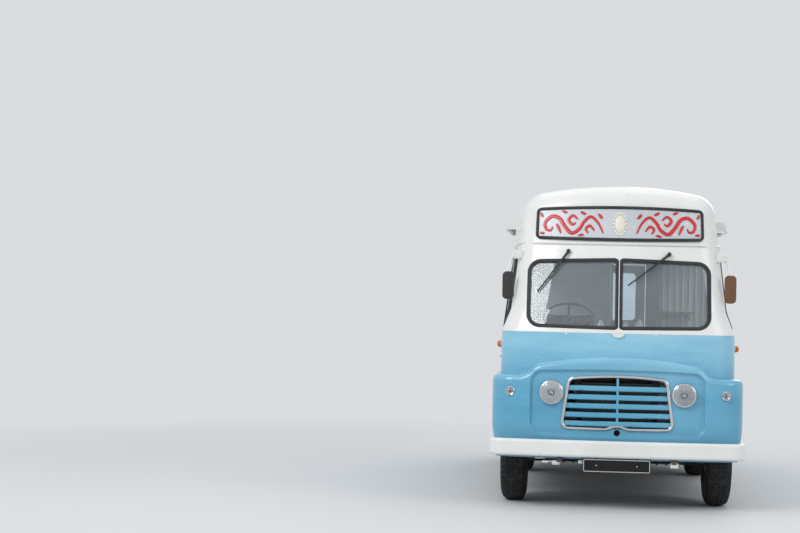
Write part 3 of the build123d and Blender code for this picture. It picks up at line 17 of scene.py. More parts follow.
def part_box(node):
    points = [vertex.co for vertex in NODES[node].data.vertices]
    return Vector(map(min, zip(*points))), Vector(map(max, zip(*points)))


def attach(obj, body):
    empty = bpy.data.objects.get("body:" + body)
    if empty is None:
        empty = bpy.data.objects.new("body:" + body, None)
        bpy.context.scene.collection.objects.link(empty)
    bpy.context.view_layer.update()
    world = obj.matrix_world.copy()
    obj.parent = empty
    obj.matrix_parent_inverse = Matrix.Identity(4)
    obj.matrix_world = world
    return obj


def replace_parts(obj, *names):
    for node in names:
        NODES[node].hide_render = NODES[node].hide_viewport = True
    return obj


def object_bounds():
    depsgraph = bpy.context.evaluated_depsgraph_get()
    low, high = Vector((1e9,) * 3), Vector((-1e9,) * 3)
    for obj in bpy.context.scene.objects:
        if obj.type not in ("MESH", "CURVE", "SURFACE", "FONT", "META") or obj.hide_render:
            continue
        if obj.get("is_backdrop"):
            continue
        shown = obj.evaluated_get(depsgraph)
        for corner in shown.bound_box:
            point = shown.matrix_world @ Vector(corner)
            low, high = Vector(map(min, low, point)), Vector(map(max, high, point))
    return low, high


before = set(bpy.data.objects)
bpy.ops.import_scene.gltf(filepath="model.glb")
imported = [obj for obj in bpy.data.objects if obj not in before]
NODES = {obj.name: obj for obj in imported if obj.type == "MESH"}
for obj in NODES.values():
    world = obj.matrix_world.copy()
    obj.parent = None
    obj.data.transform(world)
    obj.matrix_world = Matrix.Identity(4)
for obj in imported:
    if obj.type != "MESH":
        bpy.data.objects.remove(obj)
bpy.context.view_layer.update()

SIDES = ((-1, "right"), (1, "left"))
MM = 0.001

# %% [markdown]
# The camera comes first, because every piece is judged through it. A long lens stands 15 metres in
# front of the truck, 1.65 m above the ground, turned a little to the left, so that the truck fills
# the right half of the frame. Three turns give its direction: a roll, a pitch and a yaw.

# %% Camera
CAMERA_PLACE = Vector((-0.329, -17.549, 1.652))
YAW, PITCH, ROLL = math.radians(-5.40), math.radians(0.93), math.radians(1.22)
LENS_MM = 85.0


def in_scene(name, data):
    """A new object, linked to the scene."""
    made = bpy.data.objects.new(name, data)
    bpy.context.scene.collection.objects.link(made)
    return made


camera = in_scene("camera", bpy.data.cameras.new("camera"))
camera.data.lens = LENS_MM
camera.data.sensor_width = 36
camera.data.clip_end = 400
tilt = Matrix.Rotation(math.pi / 2 + PITCH, 4, "X") @ Matrix.Rotation(ROLL, 4, "Z")
camera.matrix_world = Matrix.Translation(CAMERA_PLACE) @ Matrix.Rotation(-YAW, 4, "Z") @ tilt
bpy.context.scene.camera = camera
bpy.context.scene.view_settings.view_transform = "Standard"
print("camera at", tuple(CAMERA_PLACE))

# %% [markdown]
# Soft studio light: a pale sky all round and large lamps above. The sky that lights the truck and
# the sky that shows are two colours, picked by the kind of ray, so the backdrop stays plain.

# %% Light
SKY = (0.70, 0.715, 0.735)
# name, place, aim, size, power
LAMPS = (
    ("lamp_front_left", (-6.5, -9.0, 7.5), (0, -1.5, 1.2), 5.0, 560),
    ("lamp_front_right", (7.5, -6.5, 5.0), (0, -1.0, 1.2), 4.0, 170),
    ("lamp_top", (0.0, 1.0, 8.0), (0, 0, 0), 6.0, 110),
    ("lamp_back", (3.0, 9.0, 6.0), (0, 1.5, 1.0), 5.0, 210),
)


def node(tree, kind, *inputs, **settings):
    """A node whose inputs are given in order, each a socket, a value, or None to leave it."""
    made = tree.nodes.new("ShaderNode" + kind)
    for key, value in settings.items():
        setattr(made, key, value)
    for socket, value in zip(made.inputs, inputs):
        if isinstance(value, bpy.types.NodeSocket):
            tree.links.new(value, socket)
        elif value is not None:
            socket.default_value = value
    return made


def seen_directly(tree):
    """1 for rays that show the studio itself: from the camera, off gloss, or through glass."""
    path = node(tree, "LightPath")
    total = path.outputs["Is Camera Ray"]
    for ray in ("Is Glossy Ray", "Is Transmission Ray"):
        total = node(tree, "Math", total, path.outputs[ray], operation="MAXIMUM").outputs[0]
    return total


world = bpy.data.worlds.new("studio")
world.use_nodes = True
bpy.context.scene.world = world
sky = world.node_tree
sky.nodes.clear()
light = node(sky, "Background", (0.92, 0.96, 1.0, 1), 0.62).outputs[0]
shown = node(sky, "Background", (*SKY, 1), 1.0).outputs[0]
node(sky, "OutputWorld", node(sky, "MixShader", seen_directly(sky), light, shown).outputs[0])
for name, stand, target, size, power in LAMPS:
    lamp = in_scene(name, bpy.data.lights.new(name, "AREA"))
    lamp.data.size = size
    lamp.data.energy = power
    lamp.location = stand
    lamp.rotation_euler = (Vector(target) - Vector(stand)).to_track_quat("-Z", "Y").to_euler()
print("lamps", len(LAMPS))

# %% [markdown]
# A paint is never one colour. Each material is a small node tree that adds only what the real
# surface shows: a second tone, rough and smooth patches, fine bumps, and dust near the road. Noise
# on the object's own coordinates does it, because it needs no unwrapping and stays on the piece.

# %% Helpers for materials
MATERIALS = {}
BUMP_HEIGHT = 0.001


def object_place(tree):
    return node(tree, "TexCoord").outputs["Object"]


def noise(tree, scale, detail=4, stretch=(1, 1, 1), rough=0.55):
    """Cloudy values from 0 to 1."""
    mapped = node(tree, "Mapping", object_place(tree), None, None, stretch).outputs[0]
    return node(tree, "TexNoise", mapped, None, scale, detail, rough).outputs[0]


def spread(tree, value, low, high, to_low=0.0, to_high=1.0):
    """Stretch a range of values to another, held at its ends."""
    return node(tree, "MapRange", value, low, high, to_low, to_high).outputs[0]


def clouds(tree, scale, detail, low, high, to_low=0.0, to_high=1.0, stretch=(1, 1, 1)):
    """Noise with its middle values stretched to another range."""
    return spread(tree, noise(tree, scale, detail, stretch), low, high, to_low, to_high)


def times(tree, a, b):
    return node(tree, "Math", a, b, operation="MULTIPLY").outputs[0]


def plus(tree, a, b, clamp=False):
    return node(tree, "Math", a, b, operation="ADD", use_clamp=clamp).outputs[0]


def blend_colours(tree, share, a, b):
    """Colour a at share 0 and colour b at share 1."""
    a, b = (value if isinstance(value, bpy.types.NodeSocket) else (*value, 1) for value in (a, b))
    return node(tree, "Mix", share, *[None] * 5, a, b, data_type="RGBA").outputs[2]


def height_above_road(tree):
    return node(tree, "SeparateXYZ", object_place(tree)).outputs[2]


def road_dirt(tree, colour, low, high, most=0.75):
    """Brown film that thickens from high down to low above the road, and how much of it there is."""
    reach = spread(tree, height_above_road(tree), high, low)
    share = times(tree, times(tree, reach, clouds(tree, 5.0, 6, 0.32, 0.68)), most)
    return blend_colours(tree, share, colour, (0.16, 0.13, 0.10)), share


def new_material(name):
    """A material with only a shader and an output."""
    material = bpy.data.materials.new(name)
    material.use_nodes = True
    MATERIALS[name] = material
    tree = material.node_tree
    tree.nodes.clear()
    shader = node(tree, "BsdfPrincipled")
    node(tree, "OutputMaterial", shader.outputs[0])
    return tree, shader


def finish_shader(tree, shader, colour, rough, height, bump, constants):
    """Wire colour, roughness and bumps to a shader, and set the values that are the same all over."""
    tree.links.new(colour, shader.inputs["Base Color"])
    tree.links.new(rough, shader.inputs["Roughness"])
    bumps = node(tree, "Bump", bump, BUMP_HEIGHT)
    tree.links.new(height, bumps.inputs["Height"])
    tree.links.new(bumps.outputs[0], shader.inputs["Normal"])
    for key, value in constants.items():
        shader.inputs[key].default_value = value


print("bumps stand up to", BUMP_HEIGHT, "m")

# %% [markdown]
# Most finishes differ only in numbers, so one loop makes them from a table. Tone is what the colour
# drifts to in soft patches, and grain is the scale of the fine bumps on the surface.

# %% Plain finishes
# name, colour, tone, metal, roughness low and high, coat, grain, bump, dirt top (0 for none)
FINISHES = (
    ("white_paint", (0.8, 0.8, 0.78), (0.74, 0.74, 0.71), 0, 0.24, 0.4, 0.3, 110, 0.02, 0.4),
    ("hood_white", (0.78, 0.78, 0.75), (0.7, 0.7, 0.67), 0, 0.25, 0.45, 0.25, 110, 0.03, 0),
    ("wheel_cream", (0.72, 0.7, 0.62), (0.52, 0.49, 0.41), 0, 0.35, 0.6, 0.15, 220, 0.08, 0.75),
    ("bright_plate", (0.72, 0.73, 0.74), (0.5, 0.5, 0.49), 1, 0.08, 0.26, 0, 320, 0.02, 0),
    ("dull_alloy", (0.56, 0.57, 0.58), (0.44, 0.45, 0.45), 1, 0.3, 0.48, 0, 420, 0.05, 0),
    ("rubber_seal", (0.028, 0.03, 0.032), (0.055, 0.056, 0.058), 0, 0.48, 0.7, 0, 500, 0.1, 0),
    ("black_enamel", (0.012, 0.012, 0.013), (0.03, 0.029, 0.028), 0, 0.22, 0.42, 0.3, 300, 0.05, 0),
    ("chassis_black", (0.022, 0.021, 0.02), (0.075, 0.06, 0.048), 0, 0.55, 0.85, 0, 120, 0.3, 0.8),
    ("engine_grey", (0.06, 0.066, 0.062), (0.1, 0.082, 0.06), 0.2, 0.5, 0.8, 0, 90, 0.45, 0),
    ("exhaust_rust", (0.105, 0.062, 0.04), (0.2, 0.115, 0.07), 0.4, 0.6, 0.9, 0, 80, 0.6, 0),
    ("floor_lino", (0.155, 0.16, 0.165), (0.095, 0.092, 0.088), 0, 0.45, 0.75, 0, 160, 0.2, 0),
    ("cream_panel", (0.62, 0.62, 0.58), (0.52, 0.52, 0.48), 0, 0.35, 0.55, 0.1, 240, 0.06, 0),
    ("stainless", (0.6, 0.61, 0.62), (0.5, 0.51, 0.52), 1, 0.2, 0.34, 0, 260, 0.03, 0),
    ("sign_silver", (0.56, 0.59, 0.62), (0.5, 0.53, 0.56), 0.1, 0.34, 0.5, 0.1, 300, 0.04, 0),
    ("red_gloss", (0.56, 0.02, 0.028), (0.42, 0.015, 0.022), 0, 0.3, 0.46, 0.25, 260, 0.05, 0),
    ("cream_dot", (0.82, 0.78, 0.68), (0.7, 0.64, 0.52), 0, 0.35, 0.5, 0.15, 260, 0.08, 0),
    ("plate_black", (0.006, 0.006, 0.007), (0.012, 0.012, 0.012), 0, 0.42, 0.62, 0, 300, 0.05, 0),
    ("silver_line", (0.62, 0.63, 0.64), (0.45, 0.45, 0.44), 0.6, 0.28, 0.44, 0, 300, 0.04, 0),
    ("wheel_black", (0.016, 0.016, 0.017), (0.032, 0.03, 0.029), 0, 0.3, 0.52, 0.1, 340, 0.06, 0),
    ("brass_brown", (0.16, 0.075, 0.035), (0.095, 0.045, 0.022), 0.2, 0.35, 0.6, 0.1, 150, 0.15, 0),
    ("mirror_glass", (0.8, 0.82, 0.84), (0.72, 0.74, 0.76), 1, 0.03, 0.1, 0, 300, 0.01, 0),
    ("cone_white", (0.8, 0.79, 0.75), (0.7, 0.68, 0.62), 0, 0.45, 0.65, 0.05, 240, 0.05, 0),
)
DULL = ("plate_black", "rubber_seal")
for name, colour, tone, metal, rough_low, rough_high, coat, grain, bump, dirt_top in FINISHES:
    tree, shader = new_material(name)
    mixed = blend_colours(tree, times(tree, clouds(tree, 2.6, 5, 0.35, 0.68), 0.8), colour, tone)
    rough = clouds(tree, 7.5, 5, 0.3, 0.7, rough_low, rough_high)
    if dirt_top:
        mixed, share = road_dirt(tree, mixed, 0.30, dirt_top)
        rough = plus(tree, rough, times(tree, share, 0.35), True)
    finish_shader(tree, shader, mixed, rough, noise(tree, grain), bump, {
        "Metallic": metal, "Coat Weight": coat, "Coat Roughness": 0.12,
        "Specular IOR Level": 0.25 if name in DULL else 0.5,
    })
print("plain finishes", len(MATERIALS))

# %% [markdown]
# The body paint was put on by hand: gloss enamel, light blue below the waist and white above, with
# faint strokes along the panels, drips, and rust where stones hit the lower edges. The blue pales
# towards its top, a painted highlight for the light on the upper faces, and has pale chalky patches
# at random. One material carries both colours, with a border at a height, so panels that cross the
# waist need no cut.

# %% Body paint
WAIST = 1.400
ABOVE_ALL = 3.0
# The palest blue is both a painted highlight on the upper faces and the colour of random chalky patches.
BLUE, BLUE_DEEP, BLUE_CHALK_AND_HIGHLIGHT = (0.110, 0.390, 0.570), (0.080, 0.330, 0.510), (0.295, 0.590, 0.745)
WHITE, WHITE_DULL = (0.80, 0.80, 0.775), (0.76, 0.76, 0.735)
RUST, DRIP = (0.18, 0.075, 0.035), (0.36, 0.33, 0.27)


def body_paint(name, border):
    """Blue gloss enamel below a border height, white above, and a painted highlight on the blue's top."""
    tree, shader = new_material(name)
    height = height_above_road(tree)
    strokes = clouds(tree, 3.2, 6, 0.30, 0.72, stretch=(0.5, 0.5, 3.0))
    # Painted highlight: the blue pales with height from 0.90 to 1.30 m, for light on the upper faces and
    # the brow.
    painted_top_highlight = times(tree, spread(tree, height, 0.90, 1.30), spread(tree, strokes, 0.0, 1.0, 0.50, 1.0))
    chalk = times(tree, clouds(tree, 1.1, 4, 0.52, 0.78), 0.25)
    blue = blend_colours(tree, strokes, BLUE_DEEP, BLUE)
    blue = blend_colours(tree, plus(tree, chalk, painted_top_highlight, True), blue, BLUE_CHALK_AND_HIGHLIGHT)
    white = blend_colours(tree, times(tree, strokes, 0.6), WHITE_DULL, WHITE)
    wobbly = plus(tree, height, clouds(tree, 9, 2, 0, 1, -0.0012, 0.0012))
    paint = blend_colours(tree, spread(tree, wobbly, border - 0.0006, border + 0.0006), blue, white)
    chips = times(tree, clouds(tree, 75, 4, 0.66, 0.70), spread(tree, height, 0.62, 0.44))
    paint = blend_colours(tree, chips, paint, RUST)
    runs = times(tree, clouds(tree, 6, 4, 0.60, 0.78, stretch=(9, 9, 0.7)), 0.16)
    paint, share = road_dirt(tree, blend_colours(tree, runs, paint, DRIP), 0.38, 0.66, 0.5)
    rough = plus(tree, clouds(tree, 6, 5, 0.3, 0.7, 0.20, 0.36), times(tree, share, 0.4), True)
    orange_peel = plus(tree, noise(tree, 190, 3), times(tree, noise(tree, 4, 3, (1, 1, 2)), 2.5))
    constants = {"Coat Weight": 0.45, "Coat Roughness": 0.08}
    finish_shader(tree, shader, paint, rough, orange_peel, 0.10, constants)


body_paint("two_tone_paint", WAIST)
body_paint("nose_paint", ABOVE_ALL)
print("the blue ends", WAIST, "m above the road")

# %% [markdown]
# Window glass and lamp lenses are clear solids. Their shader lets light through and bends it, and a
# thin film of dust makes them a little duller in places. The lenses' flutes are modelled later.

# %% Glass and lenses
# name, colour, roughness, how much passes
CLEAR = (
    ("window_glass", (0.84, 0.93, 0.99), 0.003, 0.90),
    ("clear_lens", (0.95, 0.96, 0.97), 0.03, 0.94),
    ("amber_lens", (0.95, 0.30, 0.03), 0.16, 0.55),
    ("red_lens", (0.75, 0.02, 0.02), 0.16, 0.55),
)
for name, colour, roughness, passes in CLEAR:
    tree, shader = new_material(name)
    dusty = tuple(value * 0.86 for value in colour)
    film = blend_colours(tree, clouds(tree, 2.2, 5, 0.35, 0.75), colour, dusty)
    rough = clouds(tree, 5, 5, 0.3, 0.8, roughness, roughness * 3)
    constants = {"Transmission Weight": passes, "IOR": 1.45}
    finish_shader(tree, shader, film, rough, noise(tree, 9, 2), 0.01, constants)
print("clear finishes", len(CLEAR))

# %% [markdown]
# Tyres are black rubber that has gone grey, with pale dust in the tread and on the shoulder. The
# dust follows the distance from the axle, so each wheel gets its own copy with its own centre.

# %% Tyre rubber
WHEEL_CENTRES = {}
for corner in ("front_left", "front_right", "rear_left", "rear_right"):
    low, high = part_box("tyre_" + corner)
    WHEEL_CENTRES[corner] = (low + high) / 2
for corner, centre in WHEEL_CENTRES.items():
    tree, shader = new_material("rubber_" + corner)
    arm = node(tree, "VectorMath", object_place(tree), tuple(centre), operation="SUBTRACT").outputs[0]
    _, y, z = node(tree, "SeparateXYZ", arm).outputs
    flat = node(tree, "CombineXYZ", 0.0, y, z).outputs[0]
    radius = node(tree, "VectorMath", flat, operation="LENGTH").outputs["Value"]
    dust = times(tree, spread(tree, radius, 0.37, 0.402), clouds(tree, 26, 5, 0.35, 0.7))
    patches = clouds(tree, 8, 5, 0.3, 0.7)
    worn = blend_colours(tree, patches, (0.005, 0.0055, 0.0065), (0.013, 0.013, 0.014))
    dusty = blend_colours(tree, times(tree, dust, 0.30), worn, (0.10, 0.095, 0.085))
    rough = clouds(tree, 14, 4, 0.3, 0.7, 0.62, 0.88)
    finish_shader(tree, shader, dusty, rough, noise(tree, 240), 0.22, {"Specular IOR Level": 0.3})
print("wheel centres", {corner: tuple(round(v, 3) for v in at) for corner, at in WHEEL_CENTRES.items()})

# %% [markdown]
# The seat is dark vinyl. Its leather grain comes from a cell pattern, whose borders are the creases.
# The counter is varnished wood, and noise that is stretched along one direction gives its grain.

# %% Vinyl and wood
tree, shader = new_material("dark_vinyl")
cells = node(tree, "TexVoronoi", object_place(tree), None, 420, feature="DISTANCE_TO_EDGE")
creases = spread(tree, cells.outputs["Distance"], 0.0, 0.25)
vinyl = blend_colours(tree, clouds(tree, 6, 4, 0.3, 0.7), (0.020, 0.020, 0.024), (0.040, 0.036, 0.036))
finish_shader(tree, shader, vinyl, clouds(tree, 11, 4, 0.3, 0.7, 0.38, 0.58), creases, 0.35, {})

tree, shader = new_material("varnished_wood")
grain = noise(tree, 7, 8, (14, 1.2, 14), 0.62)
wood = blend_colours(tree, spread(tree, grain, 0.32, 0.7), (0.30, 0.155, 0.070), (0.52, 0.31, 0.16))
rough = clouds(tree, 9, 4, 0.3, 0.7, 0.28, 0.46)
finish_shader(tree, shader, wood, rough, grain, 0.15, {"Coat Weight": 0.3})
print("all finishes", len(MATERIALS))

# %% [markdown]
# The CAD nodes keep their shapes and only get a finish. A table says which, from finish to nodes,
# because many nodes share one.

# %% Finishes of the CAD nodes
NODE_FINISHES = {
    "nose_paint": "nose_panel grille_bars",
    "white_paint": "screen_panel roof bumpers mirrors",
    "two_tone_paint": "side_panel_left side_panel_right rear_panel door_left door_right rear_door",
    "window_glass": "glazing rear_door_glass",
    "sign_silver": "sign_panel",
    "bright_plate": "grille_surround headlamps",
    "amber_lens": "small_lamps",
    "plate_black": "number_plates",
    "hood_white": "canopies",
    "black_enamel": "wipers radiator steering_column",
    "floor_lino": "floor_pan engine_cover",
    "chassis_black": "wheel_housings chassis_frame propshaft front_axle rear_axle leaf_springs fuel_tank "
                     "knuckle_left knuckle_right tie_rod",
    "engine_grey": "engine_block",
    "exhaust_rust": "exhaust",
    "cream_panel": "dashboard bulkhead",
    "dark_vinyl": "driver_seat",
    "stainless": "ice_cream_machine",
    "varnished_wood": "counter",
    "wheel_black": "steering_wheel",
    "wheel_cream": "wheel_front_left wheel_front_right wheel_rear_left wheel_rear_right",
}
for corner in WHEEL_CENTRES:
    NODE_FINISHES["rubber_" + corner] = "tyre_" + corner


def dress(thing, finish):
    """Give an object one material, on every face."""
    thing.data.materials.clear()
    thing.data.materials.append(MATERIALS[finish])


bare = set(NODES)
for finish, names in NODE_FINISHES.items():
    for name in names.split():
        dress(NODES[name], finish)
        bare.discard(name)
print("nodes without a finish", sorted(bare))

# %% [markdown]
# ## Tools for the small pieces
# A piece starts as a bmesh, and these helpers add simple shapes to it with bmesh operators: a block
# with rounded edges, a profile spun round an axis, and a round bar. Spun profiles are what a lathe
# would make, so lamps, nuts, knobs and tyres all come from the same few lines.

# %% Block, turned shape and bar


def aim(place, direction, roll=Vector((0, 0, 1))):
    """A matrix that puts local Z along a direction, at a place."""
    z = Vector(direction).normalized()
    x = roll.cross(z)
    x = x.normalized() if x.length > 1e-4 else Vector((1, 0, 0))
    return Matrix.Translation(place) @ Matrix((x, z.cross(x), z)).transposed().to_4x4()


def edges_of(verts):
    """The edges at these points, once each and in order, so that every run builds the same mesh."""
    return list(dict.fromkeys(edge for vert in verts for edge in vert.link_edges))


def soften(bm, edges, offset, segments):
    """Round edges over by a bevel of so many millimetres."""
    return bmesh.ops.bevel(
        bm, geom=list(edges), offset=offset * MM, segments=segments, profile=0.5,
        affect="EDGES", material=-1,
    )


def add_block(bm, corner, opposite, bevel=0, segments=2):
    """A block between two opposite corners, with rounded edges."""
    corner, opposite = Vector(corner), Vector(opposite)
    size = [abs(value) for value in opposite - corner]
    matrix = Matrix.Translation((corner + opposite) / 2) @ Matrix.Diagonal((*size, 1))
    verts = bmesh.ops.create_cube(bm, size=1, matrix=matrix)["verts"]
    edges = edges_of(verts)
    if bevel:
        soften(bm, edges, bevel, segments)
    return edges


def add_turned(bm, profile, matrix, segments=32):
    """Spin a profile of (radius, height) points, in millimetres, round local Z."""
    verts = [bm.verts.new(matrix @ Vector((radius * MM, 0, height * MM))) for radius, height in profile]
    edges = [bm.edges.new(pair) for pair in zip(verts, verts[1:])]
    axis = matrix.to_3x3() @ Vector((0, 0, 1))
    centre = matrix.to_translation()
    bmesh.ops.spin(
        bm, geom=verts + edges, cent=centre, axis=axis, angle=math.tau, steps=segments, use_merge=True
    )
    bmesh.ops.remove_doubles(bm, verts=bm.verts, dist=1e-6)


def add_oval(bm, profile, matrix, width, height, segments=32):
    """A turned shape that is stretched along local X and Y afterwards."""
    old = set(bm.verts)
    add_turned(bm, profile, matrix, segments)
    stretch = matrix @ Matrix.Diagonal((width, height, 1, 1)) @ matrix.inverted()
    bmesh.ops.transform(bm, matrix=stretch, verts=[vert for vert in bm.verts if vert not in old])


def add_bar(bm, start, end, radius, segments=12):
    """A round bar with slightly rounded ends."""
    start, end = Vector(start), Vector(end)
    length = (end - start).length / MM
    lip = min(radius * 0.3, length * 0.2)
    side = ((radius - lip, 0), (radius, lip), (radius, length - lip), (radius - lip, length))
    add_turned(bm, ((0, 0), *side, (0, length)), aim(start, end - start), segments)


def evenly(low, high, count):
    """So many values from low to high, at even steps."""
    return [low + (high - low) * step / (count - 1) for step in range(count)]


print("five even steps", evenly(0, 1, 5))

# %% [markdown]
# Rubber, piping, rods and brush strokes are one section drawn along a path. Each place on the path
# comes with a normal, so that a flat section lies on the panel: the first ring is extruded from frame
# to frame. The last helper turns a bmesh into an object that rides on a body, smooth but for its
# sharp edges.

# %% Trim along a path, and finished pieces


def frames_along(seats, closed):
    """One frame for each (place, normal): local Z runs along the path and local Y stands off it."""
    last = len(seats) - 1
    frames = []
    for index, (point, normal) in enumerate(seats):
        ahead = seats[(index + 1) % len(seats) if closed else min(index + 1, last)][0]
        behind = seats[index - 1 if closed else max(index - 1, 0)][0]
        along = (ahead - behind).normalized()
        side = normal.cross(along).normalized()
        axes = Matrix((side, along.cross(side), along)).transposed().to_4x4()
        frames.append(Matrix.Translation(point) @ axes)
    return frames


def add_trim(bm, seats, width, height, sides=8, out=0, closed=False, widths=None):
    """Draw an oval section along (place, normal) pairs, standing off them by out. Widths taper it."""
    frames = frames_along([(point + normal * out * MM, normal) for point, normal in seats], closed)
    scale = widths or [1.0] * len(frames)
    section = Matrix.Diagonal((width * scale[0] * MM, height * MM, 1, 1))
    if sides == 4:
        section = section @ Matrix.Scale(math.sqrt(2), 4) @ Matrix.Rotation(math.pi / 4, 4, "Z")
    ring = bmesh.ops.create_circle(bm, segments=sides, radius=0.5, matrix=frames[0] @ section)["verts"]
    first = edges_of(ring)
    edges, before = first, frames[0] @ Matrix.Diagonal((scale[0], 1, 1, 1))
    for place, wide in zip(frames[1:], scale[1:]):
        made = bmesh.ops.extrude_edge_only(bm, edges=edges)["geom"]
        verts = {item for item in made if isinstance(item, bmesh.types.BMVert)}
        edges = [item for item in made if isinstance(item, bmesh.types.BMEdge)]
        edges = [edge for edge in edges if set(edge.verts) <= verts]
        after = place @ Matrix.Diagonal((wide, 1, 1, 1))
        bmesh.ops.transform(bm, matrix=after @ before.inverted(), verts=list(verts))
        before = after
    if closed:
        bmesh.ops.bridge_loops(bm, edges=first + edges)
    else:
        bmesh.ops.edgeloop_fill(bm, edges=first)
        bmesh.ops.edgeloop_fill(bm, edges=edges)


def facing(points, normal):
    """Pair every place of a path with the same direction."""
    return [(Vector(point), Vector(normal)) for point in points]


def piece_from(bm, name, finish, body="body", sharp=32):
    """Finish a bmesh as a piece that rides on a body."""
    bmesh.ops.remove_doubles(bm, verts=bm.verts, dist=1e-6)
    bmesh.ops.recalc_face_normals(bm, faces=bm.faces)
    for face in bm.faces:
        face.smooth = True
    for edge in bm.edges:
        edge.smooth = not edge.is_manifold or edge.calc_face_angle(0) < math.radians(sharp)
    piece = in_scene(name, bpy.data.meshes.new(name))
    bm.to_mesh(piece.data)
    bm.free()
    dress(piece, finish)
    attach(piece, body)
    print(name, len(piece.data.polygons), "faces on", body)
    return piece


upright = facing([(0, 0, z) for z in evenly(0, 1, 3)], (1, 0, 0))
print("an upright path stands off along", frames_along(upright, False)[0].col[1].xyz)

# %% [markdown]
# Trim has to lie on the panels. A ray from outside finds the panel under each point of an outline,
# and the panel's normal there tells the trim which way is up. Outlines are drawn flat, with rounded
# corners, as one would mark them on a side or a front view.

# %% Finding the panels
TREES = {}


def on_panel(panel, start, direction, near=True):
    """Where a ray meets a panel, and the normal there. A ray that misses takes the nearest place."""
    if panel not in TREES:
        mesh = NODES[panel].data
        faces = [polygon.vertices for polygon in mesh.polygons]
        TREES[panel] = BVHTree.FromPolygons([vert.co for vert in mesh.vertices], faces)
    start, direction = Vector(start), Vector(direction).normalized()
    point, normal, _, _ = TREES[panel].ray_cast(start, direction)
    if point is None and near:
        point, normal, _, _ = TREES[panel].find_nearest(start)
    if point is None:
        return None, None
    return point, (-normal if normal.dot(direction) > 0 else normal)


def seat(panel, view, a, b):
    """The place and normal at (x, z) in the front or back view, or at (y, z) in the view of a side."""
    if view in ("front", "back"):
        away = -4 if view == "front" else 4
        return on_panel(panel, (a, away, b), (0, -away, 0))
    return on_panel(panel, (2 * view, a, b), (-view, 0, 0))


def rounded(corners, radius, step=0.02):
    """A closed outline through corners, each rounded, with points at even steps."""
    radii = radius if isinstance(radius, tuple) else [radius] * len(corners)
    points = []
    for index, corner in enumerate(corners):
        here = Vector(corner)
        back = (Vector(corners[index - 1]) - here).normalized()
        ahead = (Vector(corners[(index + 1) % len(corners)]) - here).normalized()
        half = back.angle(ahead) / 2
        reach = radii[index] / math.tan(half)
        centre = here + (back + ahead).normalized() * radii[index] / math.sin(half)
        start, end = here + back * reach - centre, here + ahead * reach - centre
        turns = max(2, round(start.angle(end) * radii[index] / 0.012))
        for share in evenly(0, 1, turns + 1):
            points.append(centre + start.lerp(end, share).normalized() * radii[index])
    dense = []
    for point, after in zip(points, points[1:] + points[:1]):
        parts = max(1, round((after - point).length / step))
        dense += [point.lerp(after, part / parts) for part in range(parts)]
    return dense


def grown(outline, amount):
    """Move an outline outwards in its own plane."""
    middle = sum(outline, Vector((0, 0))) / len(outline)
    moved = []
    for index, point in enumerate(outline):
        along = outline[(index + 1) % len(outline)] - outline[index - 1]
        out = Vector((along.y, -along.x)).normalized()
        moved.append(point + out * (amount if out.dot(point - middle) > 0 else -amount))
    return moved


def trim_round(bm, panel, view, outline, width, height, out=0, sides=10):
    """Trim round an outline that is drawn in a view of a panel."""
    add_trim(bm, [seat(panel, view, a, b) for a, b in outline], width, height, sides, out, closed=True)


def y_at(depth_mm):
    """The model's Y, in metres, of a depth behind the bumper's face in millimetres."""
    return (depth_mm - 2560) / 1000


print("the screen's rubber meets the cab at", seat("screen_panel", "front", 0, 1.444)[0])

# %% [markdown]
# ## Windscreen
# Each pane sits in a thick black rubber, and a bright strip covers the joint between the two. Below
# it a white half-moon catch sits on the waist seam. The rubbers are swept, and the catch is half an
# oval, extruded and bevelled.

# %% Windscreen rubbers, strip and catch
PANE = ((0.022, 1.446), (0.722, 1.456), (0.722, 1.965), (0.022, 1.985))
bm = bmesh.new()
pane_outline = grown(rounded(PANE, (0.014, 0.088, 0.088, 0.014)), 0.007)
for side, _ in SIDES:
    trim_round(bm, "screen_panel", "front", [(side * x, z) for x, z in pane_outline], 31, 20, -1)
piece_from(bm, "screen_rubbers", "rubber_seal")

bm = bmesh.new()
add_trim(bm, [seat("screen_panel", "front", 0, z) for z in evenly(1.444, 1.989, 15)], 8, 12, out=9)
piece_from(bm, "screen_centre_strip", "dull_alloy")

bm = bmesh.new()
point, normal = seat("nose_panel", "front", 0, 1.375)
at = aim(point + Vector((0, 0, 0.020)), normal)
rim = [at @ Vector((0.050 * math.cos(a), 0.034 * math.sin(a), 0)) for a in evenly(math.pi, math.tau, 17)]
face = bm.faces.new([bm.verts.new(place) for place in rim])
made = bmesh.ops.extrude_face_region(bm, geom=[face])["geom"]
bmesh.ops.translate(bm, verts=[g for g in made if isinstance(g, bmesh.types.BMVert)], vec=normal * 0.012)
soften(bm, bm.edges, 3, 2)
piece_from(bm, "bonnet_catch", "white_paint")

# %% [markdown]
# The white cab panel laps over the blue nose at the waist. A thin rolled seam shows there, all round
# the front, with two rivets. Rays from a wide ring round the cab find it.

# %% Waist seam
SEAM_Z = 1.402
SCREW = ((0, 6), (6, 4), (9, 0))
bm = bmesh.new()
seam = []
for angle in evenly(math.radians(-96), math.radians(96), 61):
    start = Vector((1.6 * math.sin(angle), y_at(1000) - 1.9 * math.cos(angle), SEAM_Z))
    target = Vector((0.55 * math.sin(angle), y_at(700), SEAM_Z))
    seam.append(on_panel("screen_panel", start, target - start))
add_trim(bm, [pair for pair in seam if abs(pair[0].z - SEAM_Z) < 0.01], 11, 5)
for x in (-0.42, 0.30):
    add_turned(bm, SCREW, aim(*seat("nose_panel", "front", x, 1.388)), 12)
piece_from(bm, "waist_seam", "white_paint")

# %% [markdown]
# ## Sign board
# A pale grey board in a black rubber frame, over a small ledge. The frame's top edge bows upwards and
# its lower edge hangs a little, which a parabola gives to a rounded rectangle.

